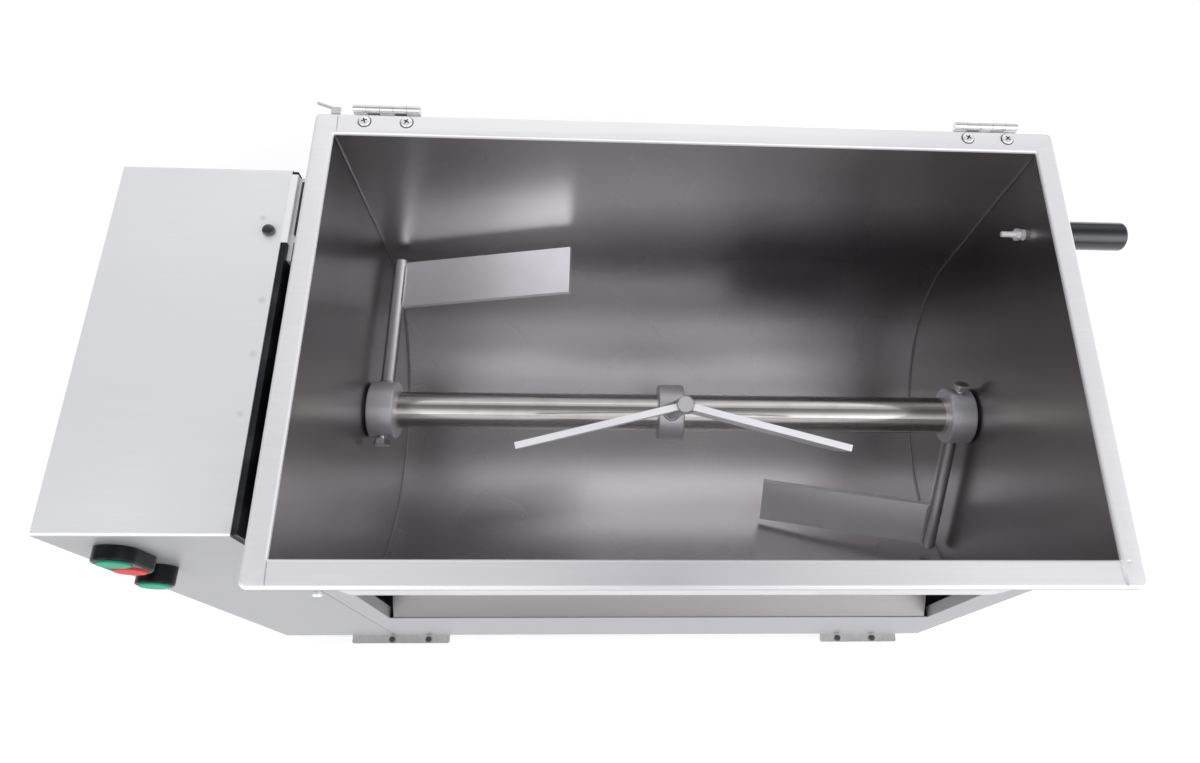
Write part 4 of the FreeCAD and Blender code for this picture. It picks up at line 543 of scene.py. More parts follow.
def skin(name: str, rings: list[list[Vector]], capped: bool = True, joined: bool = False,
         sharp: float = 35.0) -> bpy.types.Mesh:
    """Surface through closed rings that have as many points each.

    Args:
        name: The mesh's name.
        rings: Points in metres, ring after ring.
        capped: Whether flat faces close both ends.
        joined: Whether the last ring meets the first.
        sharp: Edges above this angle in degrees stay crisp.

    Returns:
        The new mesh.
    """
    count = len(rings[0])
    faces = []
    for i in range(len(rings) if joined else len(rings) - 1):
        here, there = i * count, (i + 1) % len(rings) * count
        for j in range(count):
            k = (j + 1) % count
            faces.append((here + j, here + k, there + k, there + j))
    if capped and not joined:
        faces.append(tuple(reversed(range(count))))
        faces.append(tuple(range((len(rings) - 1) * count, len(rings) * count)))
    mesh = bpy.data.meshes.new(name)
    mesh.from_pydata([point for ring in rings for point in ring], [], faces)
    tidy_mesh(mesh, sharp)
    return mesh


def tidy_mesh(mesh: bpy.types.Mesh, sharp: float = 35.0) -> None:
    """Merge doubled points, turn faces outwards and smooth all but the crisp edges.

    Args:
        mesh: The mesh to tidy.
        sharp: Edges above this angle in degrees stay crisp.
    """
    work = bmesh.new()
    work.from_mesh(mesh)
    bmesh.ops.remove_doubles(work, verts=work.verts, dist=1e-6)
    bmesh.ops.dissolve_degenerate(work, edges=work.edges, dist=1e-7)
    bmesh.ops.recalc_face_normals(work, faces=work.faces)
    work.to_mesh(mesh)
    work.free()
    mesh.shade_smooth()
    mesh.set_sharp_from_angle(angle=math.radians(sharp))


def circle(radius: float, height: float, segments: int) -> list[Vector]:
    """Points of a level circle about Z, radius and height in millimetres."""
    turns = [2 * math.pi * j / segments for j in range(segments)]
    return [Vector((radius * math.cos(a), radius * math.sin(a), height)) * MM for a in turns]


def turned(name: str, profile: list[tuple[float, float]], segments: int = 48) -> bpy.types.Mesh:
    """Turned piece about Z.

    Args:
        name: The mesh's name.
        profile: Radius and height of each step, in millimetres.
        segments: Points round it.

    Returns:
        The new mesh.
    """
    return skin(name, [circle(radius, height, segments) for radius, height in profile])


def hexagon_ring(corner: float, crown: float, height: float, top: bool, segments: int) -> list[Vector]:
    """Ring where a hexagon's flats meet the cone that bevels its corners.

    Args:
        corner: Radius to the corners, in millimetres.
        crown: Radius of the flat end face.
        height: Height of that end face.
        top: Whether the cone rises to the end face or falls to it.
        segments: Points round it, a multiple of six.

    Returns:
        The ring's points in metres.
    """
    flat = corner * math.cos(math.radians(30))
    points = []
    for j in range(segments):
        turn = 2 * math.pi * j / segments
        off_corner = (turn % math.radians(60)) - math.radians(30)
        radius = flat / math.cos(off_corner)
        fall = max(radius - crown, 0.0) * math.tan(math.radians(30))
        z = height - fall if top else height + fall
        points.append(Vector((radius * math.cos(turn), radius * math.sin(turn), z)) * MM)
    return points


def hexagon_head(corner: float, height: float, segments: int = 72) -> list[list[Vector]]:
    """Rings of a hexagon head that stands on Z = 0, bevelled at its top.

    Args:
        corner: Radius to the corners, in millimetres.
        height: Its height.
        segments: Points round it.

    Returns:
        The rings from below upwards.
    """
    crown = corner * 0.84
    return [hexagon_ring(corner, crown, 0.0, False, segments), hexagon_ring(corner, crown, height, True, segments),
            circle(crown, height, segments), circle(crown - 0.3, height + 0.1, segments)]


def nut_mesh(name: str, corner: float, height: float, bore: float, segments: int = 72) -> bpy.types.Mesh:
    """Hexagon nut on Z = 0, bevelled on both faces, with a countersunk bore.

    Args:
        name: The mesh's name.
        corner: Radius to the corners, in millimetres.
        height: Its height.
        bore: Radius of its bore.
        segments: Points round it.

    Returns:
        The new mesh.
    """
    crown = corner * 0.84
    lead = 0.4
    rings = [circle(bore, lead, segments), circle(bore + lead, 0.0, segments), circle(crown, 0.0, segments),
             hexagon_ring(corner, crown, 0.0, False, segments), hexagon_ring(corner, crown, height, True, segments),
             circle(crown, height, segments), circle(bore + lead, height, segments),
             circle(bore, height - lead, segments)]
    return skin(name, rings, capped=False, joined=True)


def thread_rings(radius: float, start: float, end: float, pitch: float, segments: int = 24) -> list[list[Vector]]:
    """Rings of a threaded shank along Z.

    Args:
        radius: Outer radius, in millimetres.
        start: Height where it starts.
        end: Height where it ends.
        pitch: Rise of one turn.
        segments: Points round it.

    Returns:
        The rings from start to end, the ends bevelled.
    """
    steps = max(int((end - start) / pitch * 6), 2)
    depth = 0.6 * pitch
    rings = []
    for i in range(steps + 1):
        z = start + (end - start) * i / steps
        ring = []
        for j in range(segments):
            turn = 2 * math.pi * j / segments
            phase = (z / pitch - j / segments) % 1.0
            groove = depth * abs(2 * phase - 1)
            lead_in = max(0.0, depth - min(z - start, end - z))
            r = radius - max(groove, lead_in)
            ring.append(Vector((r * math.cos(turn), r * math.sin(turn), z)) * MM)
        rings.append(ring)
    return rings


def bead(name: str, path: list[Vector], radius: float, seed: int, ripple: float = 0.18, sides: int = 8,
         closed: bool = False) -> bpy.types.Mesh:
    """Weld bead along a path, with the ripples of its runs.

    Args:
        name: The mesh's name.
        path: Points in metres.
        radius: Bead radius in millimetres.
        seed: Start of its random draws.
        ripple: Share by which the radius varies.
        sides: Points round the bead.
        closed: Whether the path returns to its start.

    Returns:
        The new mesh.
    """
    draws = random.Random(seed)
    rings = []
    count = len(path)
    for i, point in enumerate(path):
        before = path[i - 1] if closed or i > 0 else path[0]
        after = path[(i + 1) % count] if closed or i < count - 1 else path[-1]
        forward = (after - before).normalized()
        side = forward.orthogonal().normalized() if not rings else (across - forward * across.dot(forward)).normalized()
        across = side
        lift = forward.cross(side)
        scale = 1 + ripple * (0.6 * math.sin(i * 2.1) + 0.4 * draws.uniform(-1, 1))
        taper = 1.0 if closed else min(1.0, 0.35 + min(i, count - 1 - i) * 0.22)
        r = radius * MM * scale * taper
        turns = [2 * math.pi * j / sides for j in range(sides)]
        rings.append([point + (side * math.cos(a) + lift * math.sin(a)) * r for a in turns])
    return skin(name, rings, capped=not closed, joined=closed, sharp=60.0)


def piece(name: str, mesh: bpy.types.Mesh, body: Body, material: bpy.types.Material,
          place: Matrix | None = None) -> bpy.types.Object:
    """Put a mesh in the scene as a piece of the machine.

    Args:
        name: The piece's name.
        mesh: Its mesh.
        body: The body that it moves with.
        material: Its finish.
        place: Its placement, or none where the mesh already lies in the frame.

    Returns:
        The new object.
    """
    made = bpy.data.objects.new(name, mesh)
    bpy.context.scene.collection.objects.link(made)
    if place is not None:
        made.matrix_world = place
    if not mesh.materials:
        mesh.materials.append(material)
    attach(made, body.value)
    log.info("built %s on %s", name, body.value)
    return made


def joined_mesh(name: str, parts: list[tuple[bpy.types.Mesh, Matrix]]) -> bpy.types.Mesh:
    """One mesh from several, each with its placement.

    Args:
        name: The new mesh's name.
        parts: Meshes and where they go.

    Returns:
        The new mesh.
    """
    work = bmesh.new()
    for mesh, place in parts:
        copy = mesh.copy()
        copy.transform(place)
        work.from_mesh(copy)
        bpy.data.meshes.remove(copy)
    mesh = bpy.data.meshes.new(name)
    work.to_mesh(mesh)
    work.free()
    mesh.shade_smooth()
    mesh.set_sharp_from_angle(angle=math.radians(35))
    return mesh


def carved(name: str, block: bpy.types.Mesh, cutter: bpy.types.Mesh) -> bpy.types.Mesh:
    """Block less cutter.

    Args:
        name: The new mesh's name.
        block: What is cut.
        cutter: What is taken away.

    Returns:
        The cut mesh.
    """
    scene = bpy.context.scene
    stock = bpy.data.objects.new(name + "_stock", block)
    tool = bpy.data.objects.new(name + "_tool", cutter)
    for thing in (stock, tool):
        scene.collection.objects.link(thing)
    cut = stock.modifiers.new("cut", "BOOLEAN")
    cut.operation = "DIFFERENCE"
    cut.solver = "EXACT"
    cut.object = tool
    bpy.context.view_layer.update()
    ready = stock.evaluated_get(bpy.context.evaluated_depsgraph_get())
    mesh = bpy.data.meshes.new_from_object(ready)
    mesh.name = name
    for thing in (stock, tool):
        bpy.data.objects.remove(thing)
    tidy_mesh(mesh)
    return mesh


def cross_cutter(name: str, reach: float, width: float, depth: float, top: float) -> bpy.types.Mesh:
    """Tapered cross that cuts the recess of a screw head.

    Args:
        name: The mesh's name.
        reach: From its middle to the end of a wing, in millimetres.
        width: Width of a wing.
        depth: How deep it goes.
        top: Height that it starts from.

    Returns:
        The new mesh.
    """
    rings = []
    for share, z in ((0.45, top - depth), (1.0, top + 0.2)):
        long, half = reach * share, width / 2 * (0.7 + 0.3 * share)
        corner = [(long, -half), (long, half), (half, half)]
        ring = []
        for quarter in range(4):
            turn = Matrix.Rotation(math.radians(90 * quarter), 3, "Z")
            ring += [turn @ Vector((x, y, z)) * MM for x, y in corner]
        rings.append(ring)
    return skin(name, rings)


def pan_screw(name: str, radius: float, height: float, shank: float, length: float) -> bpy.types.Mesh:
    """Cross-recessed pan head on Z = 0 with its threaded shank below.

    Args:
        name: The mesh's name.
        radius: Head radius, in millimetres.
        height: Head height.
        shank: Shank radius.
        length: Shank length, or 0 for none.

    Returns:
        The new mesh.
    """
    dome = [(radius - 0.15, 0.0), (radius, 0.2), (radius, height * 0.5)]
    for step in range(1, 7):
        turn = math.radians(15 * step)
        dome.append((radius * (0.74 + 0.26 * math.cos(turn)), height * (0.5 + 0.42 * math.sin(turn))))
    dome.append((radius * 0.3, height))
    head = carved(name, turned(name + "_blank", dome),
                  cross_cutter(name + "_cross", radius * 0.58, radius * 0.24, height * 0.85, height))
    if length <= 0:
        return head
    rod = skin(name + "_shank", thread_rings(shank, -length, 0.3, 0.8))
    return joined_mesh(name, [(head, Matrix()), (rod, Matrix())])


# Studio

@dataclass
class PhotoCamera:
    """Camera at the photograph's place, looking steeply down into the tank."""

    picture_width: float = 1200.0
    picture_height: float = 763.0
    focal_pixels: float = 868.9
    centre_u: float = 647.2
    centre_v: float = 339.27
    place: Point = (-0.042418, -0.291504, 1.3230)
    turn: Point = (0.387745, -0.055354, -0.006467)
    sensor: float = 36.0

    def build(self) -> bpy.types.Object:
        """Make the camera and set it as the scene's.

        Returns:
            The camera object.
        """
        data = bpy.data.cameras.new("photo_camera")
        data.sensor_fit = "HORIZONTAL"
        data.sensor_width = self.sensor
        data.lens = self.sensor * self.focal_pixels / self.picture_width
        data.shift_x = (self.picture_width / 2 - self.centre_u) / self.picture_width
        data.shift_y = (self.centre_v - self.picture_height / 2) / self.picture_width
        data.clip_start = 0.01
        data.clip_end = 50.0
        made = bpy.data.objects.new("photo_camera", data)
        made.location = self.place
        made.rotation_euler = self.turn
        bpy.context.scene.collection.objects.link(made)
        bpy.context.scene.camera = made
        return made


@dataclass(frozen=True)
class SkyLobe:
    """Broad soft glow in one direction of the studio's sky, its angles in degrees."""

    azimuth: float
    elevation: float
    strength: float
    spread: float = 9.5

    @property
    def direction(self) -> Point:
        """Unit vector towards its middle; azimuth turns from X towards Y."""
        a, e = math.radians(self.azimuth), math.radians(self.elevation)
        return (math.cos(e) * math.cos(a), math.cos(e) * math.sin(a), math.sin(e))


@dataclass
class Studio:
    """Pale floor under a soft sky made of a few broad glows."""

    floor_half: float = 40.0
    floor_tone: Colour = (0.93, 0.93, 0.935)
    floor_glow: float = 0.24
    sky_tone: Colour = (0.985, 0.985, 1.0)
    sky_base: float = 0.05
    lobes: tuple[SkyLobe, ...] = (
        SkyLobe(225.0, 35.0, 2.65), SkyLobe(315.0, 35.0, 2.85), SkyLobe(270.0, 65.0, 0.12),
        SkyLobe(90.0, 35.0, 1.35), SkyLobe(135.0, 35.0, 0.33), SkyLobe(45.0, 35.0, 0.33), SkyLobe(0.0, 8.0, 1.8))

    def floor(self) -> bpy.types.Object:
        """Lay the floor at the rubber feet's level.

        Returns:
            The floor object.
        """
        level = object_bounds()[0].z
        half = self.floor_half
        mesh = bpy.data.meshes.new("floor")
        corners = [(-half, -half, level), (half, -half, level), (half, half, level), (-half, half, level)]
        mesh.from_pydata(corners, [], [(0, 1, 2, 3)])
        made = bpy.data.objects.new("floor", mesh)
        bpy.context.scene.collection.objects.link(made)
        sheet = NodeSheet("studio floor")
        sheet.set(Base_Color=(*self.floor_tone, 1.0), Roughness=0.9, Specular_IOR_Level=0.1,
                  Emission_Color=(1.0, 1.0, 1.0, 1.0), Emission_Strength=self.floor_glow)
        mesh.materials.append(sheet.material)
        made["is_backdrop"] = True
        return made

    def sky(self) -> None:
        """Fill the world with the lobes."""
        world = bpy.data.worlds.new("studio sky")
        world.use_nodes = True
        bpy.context.scene.world = world
        tree = world.node_tree
        total = None
        base = tree.nodes.new("ShaderNodeValue").outputs[0]
        base.default_value = self.sky_base
        places = tree.nodes.new("ShaderNodeTexCoord").outputs["Generated"]

        def step(operation: str, first: bpy.types.NodeSocket, second: object) -> bpy.types.NodeSocket:
            """Arithmetic on a socket and a socket or number."""
            made = tree.nodes.new("ShaderNodeMath")
            made.operation = operation
            tree.links.new(first, made.inputs[0])
            if isinstance(second, float):
                made.inputs[1].default_value = second
            elif second is not None:
                tree.links.new(second, made.inputs[1])
            return made.outputs[0]

        for lobe in self.lobes:
            dot = tree.nodes.new("ShaderNodeVectorMath")
            dot.operation = "DOT_PRODUCT"
            tree.links.new(places, dot.inputs[0])
            dot.inputs[1].default_value = lobe.direction
            fall = step("MULTIPLY", step("SUBTRACT", dot.outputs["Value"], 1.0), lobe.spread)
            glow = step("MULTIPLY", step("EXPONENT", fall, None), lobe.strength)
            total = step("ADD", glow, base if total is None else total)
        background = tree.nodes["Background"]
        background.inputs["Color"].default_value = (*self.sky_tone, 1.0)
        tree.links.new(total, background.inputs["Strength"])

    def build(self) -> None:
        """Set the floor, the sky and the colour transform."""
        self.floor()
        self.sky()
        view = bpy.context.scene.view_settings
        view.view_transform = "Standard"
        view.look = "None"


# CAD nodes

@dataclass(frozen=True)
class Dressing:
    """Which finish a frame node takes, and how round its edges are."""

    finish: object
    edge: float = 0.0
    segments: int = 2


class Dresser:
    """Gives the frame's own nodes their finishes and softened edges."""

    def __init__(self) -> None:
        """Start with no materials made."""
        self.made: dict[str, bpy.types.Material] = {}

    def material(self, finish: object) -> bpy.types.Material:
        """The finish's material, built once.

        Args:
            finish: A finish.

        Returns:
            Its material.
        """
        if finish.name not in self.made:
            self.made[finish.name] = finish.make()
        return self.made[finish.name]

    def dress(self, node: str, dressing: Dressing) -> None:
        """Put a finish on a node and round its edges with modifiers.

        Args:
            node: The node's name.
            dressing: What it takes.
        """
        target = frame["nodes"][node]
        target.data.materials.clear()
        target.data.materials.append(self.material(dressing.finish))
        if dressing.edge > 0:
            weld = target.modifiers.new("join", "WELD")
            weld.merge_threshold = WELD_DISTANCE
            bevel = target.modifiers.new("edges", "BEVEL")
            bevel.width = dressing.edge
            bevel.segments = dressing.segments
            bevel.limit_method = "ANGLE"
            bevel.angle_limit = math.radians(35)
            bevel.harden_normals = True
        log.info("dressed %s with %s", node, dressing.finish.name)


SPOT_WELDS = tuple(Spot((x, y, 0.6355), radius, (0.50, 0.50, 0.54), strength) for x, y, radius, strength in (
    (-0.3299, 0.0202, 0.0045, 0.55), (-0.3294, -0.0289, 0.0045, 0.5), (-0.3313, -0.0808, 0.004, 0.5),
    (-0.3416, 0.0997, 0.004, 0.45), (-0.3225, -0.1720, 0.012, 0.30), (-0.3215, -0.1500, 0.007, 0.22)))
# Painted light on the tank sheet: two dark patches of painted shade on the back wall and a bright patch of painted
# highlight low in the front of the trough.
TROUGH_PAINTED_LIGHT = (Spot((0.18, 0.187, 0.44), 0.11, (0.22, 0.21, 0.22), 0.85, (0.30, 1.0, 1.0)),
                 Spot((-0.20, 0.187, 0.60), 0.12, (0.40, 0.38, 0.40), 0.45, (0.7, 1.0, 1.0)),
                 Spot((0.0, -0.055, 0.222), 0.16, (1.0, 0.99, 0.98), 0.95, (0.7, 1.5, 1.0)))
# Painted shade: dark patches on both end walls towards their tops at the back.
END_PAINTED_SHADE = (Spot((-0.290, 0.19, 0.63), 0.38, (0.06, 0.055, 0.055), 0.85),
              Spot((0.372, 0.19, 0.55), 0.36, (0.09, 0.085, 0.08), 0.75))
TANK_INSIDE = BrushedSteel("tank sheet", (0.67, 0.65, 0.665), Grain.ALONG_X, rough_low=0.275, rough_high=0.275,
                           cloud=0.03, line_contrast=0.0, depth=0.0, wave=0.0002, spots=TROUGH_PAINTED_LIGHT)
# Painted shade: the end walls take a much darker copy of the tank sheet's tone.
TANK_END = BrushedSteel("tank end sheet", (0.37, 0.355, 0.355), Grain.ALONG_Y, rough_low=0.295, rough_high=0.295,
                        cloud=0.05, line_contrast=0.0, depth=0.0, wave=0.00015, spots=END_PAINTED_SHADE)
# Painted shade: a soft darker patch on the middle of the rim's front.
RIM_PAINTED_SHADE = (Spot((0.01, -0.211, 0.642), 0.24, (0.60, 0.59, 0.64), 0.85),)
# Painted shade: the rim's rolled edges and hem below its top are dimmed to a quarter of its tone.
RIM_STEEL = BrushedSteel("rim sheet", (0.97, 0.965, 0.99), Grain.ALONG_X, rough_low=0.38, rough_high=0.46,
                         cloud=0.03, line_contrast=0.03, depth=0.00001, metal=0.5, shaded_tone_share=0.25,
                         shaded_below=0.6382, spots=RIM_PAINTED_SHADE)
# Painted shade: the cabinet's upright faces below its top are dimmed to 0.4 of its tone.
CABINET_STEEL = BrushedSteel("cabinet sheet", (0.97, 0.975, 1.0), Grain.ALONG_X, rough_low=0.40, rough_high=0.46,
                             cloud=0.02, line_contrast=0.02, depth=0.00001, metal=0.55, shaded_tone_share=0.40,
                             shaded_below=0.635, spots=SPOT_WELDS)
LID_STEEL = BrushedSteel("lid sheet", (0.68, 0.68, 0.70), Grain.ALONG_X, rough_low=0.36, rough_high=0.44,
                         cloud=0.02, line_contrast=0.02, depth=0.00001, metal=0.8)
# Painted shade: the belly guard under the rim overhang takes a darker copy of the fascia sheet.
GUARD_STEEL = BrushedSteel("guard sheet", (0.36, 0.35, 0.345), Grain.ALONG_X, rough_low=0.48, rough_high=0.56,
                           cloud=0.03, line_contrast=0.03, depth=0.00001)
FASCIA_STEEL = BrushedSteel("fascia sheet", (0.47, 0.47, 0.485), Grain.ALONG_X, rough_low=0.46, rough_high=0.54,
                            cloud=0.03, line_contrast=0.03, depth=0.00001)
TAB_STEEL = BrushedSteel("tab sheet", (0.72, 0.71, 0.72), Grain.ALONG_X, rough_low=0.40, rough_high=0.48,
                         cloud=0.05, line_contrast=0.03, depth=0.00001, metal=0.8)
# Painted light: the rest bracket, which sits in shade between cabinet and tank, takes a near-white, less metallic copy
# of the sheet so that it reads as lit.
BRACKET_STEEL = BrushedSteel("bracket sheet", (0.97, 0.97, 1.0), Grain.ALONG_Y, rough_low=0.40, rough_high=0.48,
                             cloud=0.03, line_contrast=0.03, depth=0.00001, metal=0.25)
WELD_STEEL = BlastedSteel("weld bead steel", (0.36, 0.35, 0.36), rough=0.36, pits_per_metre=900.0, mottle=0.16,
                          depth=0.00012)
PADDLE_WELD = BlastedSteel("paddle weld steel", (0.52, 0.51, 0.50), rough=0.40, pits_per_metre=900.0, mottle=0.14,
                           depth=0.0001)
HINGE_STEEL = TurnedMetal("hinge sheet", (0.88, 0.88, 0.89), Grain.ALONG_X, rough=0.26)
BLACK_PLATE = PaintedMetal("black powder coat", (0.012, 0.013, 0.016), rough=0.42)
BEARING_IRON = PaintedMetal("bearing enamel", (0.016, 0.016, 0.018), rough=0.32)
MOTOR_PAINT = PaintedMetal("motor enamel", (0.10, 0.13, 0.17), rough=0.30)
PADDLE_STEEL = BlastedSteel("blasted paddle steel", (0.93, 0.93, 0.96), rough=0.44, metallic=0.8, mottle=0.04)
ARM_STEEL = BlastedSteel("drawn arm steel", (0.62, 0.615, 0.63), rough=0.40, mottle=0.06)
COLLAR_STEEL = BlastedSteel("turned collar steel", (0.72, 0.715, 0.75), rough=0.50, metallic=0.75, mottle=0.04,
                            depth=0.00003)
SHAFT_STEEL = TurnedMetal("polished shaft steel", (0.70, 0.68, 0.66), Grain.ALONG_X, rough=0.10)
NUT_STEEL = BlastedSteel("bright nut steel", (0.95, 0.94, 0.96), rough=0.34, metallic=0.45, mottle=0.04,
                         depth=0.00002)
SCREW_STEEL = TurnedMetal("plated screw steel", (0.86, 0.855, 0.85), Grain.NONE, rough=0.22)
HINGE_SCREW = RecessedSteel("hinge screw steel", (0.96, 0.955, 0.96), 5.4, 2.3)
COVER_SCREW = RecessedSteel("cover screw steel", (0.96, 0.955, 0.96), 4.2, 2.6)
DARK_BOLT = TurnedMetal("blackened bolt steel", (0.10, 0.105, 0.115), Grain.NONE, rough=0.35)
GEAR_STEEL = TurnedMetal("oiled gear steel", (0.30, 0.29, 0.28), Grain.ROUND_X, rough=0.28)
BRONZE = TurnedMetal("bush bronze", (0.55, 0.38, 0.18), Grain.ROUND_X, rough=0.30)
GEARBOX_ALLOY = BlastedSteel("cast gearbox alloy", (0.50, 0.51, 0.52), rough=0.48)
BLACK_GLOSS = Moulded("glossy black plastic", (0.010, 0.011, 0.014), rough=0.20, coat=1.0, dust=0.02)
GRIP_GLOSS = Moulded("glossy grip plastic", (0.008, 0.010, 0.014), rough=0.13, coat=0.6, dust=0.01, ior=1.5)
BEZEL_BLACK = Moulded("black switch plastic", (0.004, 0.0045, 0.005), rough=0.30, dust=0.01,
                      grain_per_metre=500.0, ior=1.3)
BUTTON_GREEN = Moulded("green button plastic", (0.0, 0.34, 0.19), rough=0.46, dust=0.0, ior=1.3)
BUTTON_RED = Moulded("red button plastic", (0.64, 0.035, 0.025), rough=0.46, dust=0.0, ior=1.3)
RUBBER = Moulded("black rubber", (0.014, 0.014, 0.015), rough=0.62, dust=0.10)
SEAL_RUBBER = Moulded("grey seal rubber", (0.07, 0.07, 0.075), rough=0.5, dust=0.05)
GREY_PLASTIC = Moulded("grey contactor plastic", (0.45, 0.44, 0.42), rough=0.45, dust=0.08)
GLAND_PLASTIC = Moulded("black gland plastic", (0.015, 0.015, 0.016), rough=0.42, dust=0.06)

NODE_DRESSINGS = {
    "cabinet_shell": Dressing(CABINET_STEEL),
    "service_cover": Dressing(FASCIA_STEEL, 0.0004),
    "drive_side_plate": Dressing(BLACK_PLATE),
    # Painted shade: the right side plate takes the black coat so that the inside of the right upright reads as shade.
    "right_side_plate": Dressing(BLACK_PLATE),
    "right_side_skin": Dressing(FASCIA_STEEL, 0.0005),
    "front_fascia": Dressing(FASCIA_STEEL, 0.0005),
    "rear_fascia": Dressing(FASCIA_STEEL, 0.0005),
    "belly_guard": Dressing(GUARD_STEEL, 0.0005),
    "base_pan": Dressing(FASCIA_STEEL),
    "floor_rails": Dressing(BLACK_PLATE, 0.0006),
    "foot_plates": Dressing(SCREW_STEEL, 0.0005),
    "rubber_feet": Dressing(RUBBER, 0.001),
    "rest_bracket": Dressing(BRACKET_STEEL, 0.0006),
    "rest_pad": Dressing(RUBBER, 0.0006),
    "left_bearing_housing": Dressing(BEARING_IRON, 0.0008),
    "right_bearing_housing": Dressing(BEARING_IRON, 0.0008),
    "trunnion_bushes": Dressing(BRONZE),
    "drive_carrier": Dressing(BLACK_PLATE, 0.0006),
    "carrier_spacers": Dressing(SCREW_STEEL, 0.0004),
    "outboard_bearing": Dressing(BEARING_IRON, 0.0008),
    "gearbox_housing": Dressing(GEARBOX_ALLOY, 0.0015, 3),
    "motor_body": Dressing(MOTOR_PAINT),
    "motor_fan_cowl": Dressing(MOTOR_PAINT),
    "motor_terminal_box": Dressing(MOTOR_PAINT, 0.0008),
    "contactor": Dressing(GREY_PLASTIC, 0.0005),
    "switch_bezel": Dressing(BEZEL_BLACK, 0.0011, 4),
    "jog_bezel": Dressing(BEZEL_BLACK, 0.0012, 4),
    "contact_blocks": Dressing(GREY_PLASTIC, 0.0005),
    "cable_gland": Dressing(GLAND_PLASTIC, 0.0004),
    "start_button": Dressing(BUTTON_GREEN, 0.0006, 3),
    "stop_button": Dressing(BUTTON_RED, 0.0006, 3),
    "jog_button": Dressing(BUTTON_GREEN, 0.0008, 3),
    "trough_shell": Dressing(TANK_INSIDE),
    "end_wall_left": Dressing(TANK_END),
    "end_wall_right": Dressing(TANK_END),
    "trunnions": Dressing(SCREW_STEEL, 0.0005),
    "shaft_seals": Dressing(SEAL_RUBBER),
    "shaft_bushes": Dressing(BRONZE),
    "handle_grip": Dressing(GRIP_GLOSS),
    "hinge_fixed_leaves": Dressing(HINGE_STEEL),
    "hinge_pins": Dressing(SCREW_STEEL),
    "lid_safety_tab": Dressing(TAB_STEEL, 0.0004),
    "lid_panel": Dressing(LID_STEEL, 0.0004),
    "lid_handle": Dressing(SCREW_STEEL),
    "hinge_moving_leaves": Dressing(HINGE_STEEL),
    "mixer_shaft": Dressing(SHAFT_STEEL),
    "paddle_collars": Dressing(COLLAR_STEEL, 0.0004),
    "paddle_arms": Dressing(ARM_STEEL),
    "paddle_blades": Dressing(PADDLE_STEEL, 0.0005),
    "drive_gear": Dressing(GEAR_STEEL, 0.0003),
    "gear_key": Dressing(GEAR_STEEL),
    "drive_pinion": Dressing(GEAR_STEEL, 0.0003),
}


# Sub-assemblies

@dataclass(frozen=True)
class ButtSeam:
    """Open seam across the rim, from the mouth outwards, in millimetres."""

    seed: int
    front: bool
    start_x: float
    end_x: float
    width: float
    peak: float
    depth: float


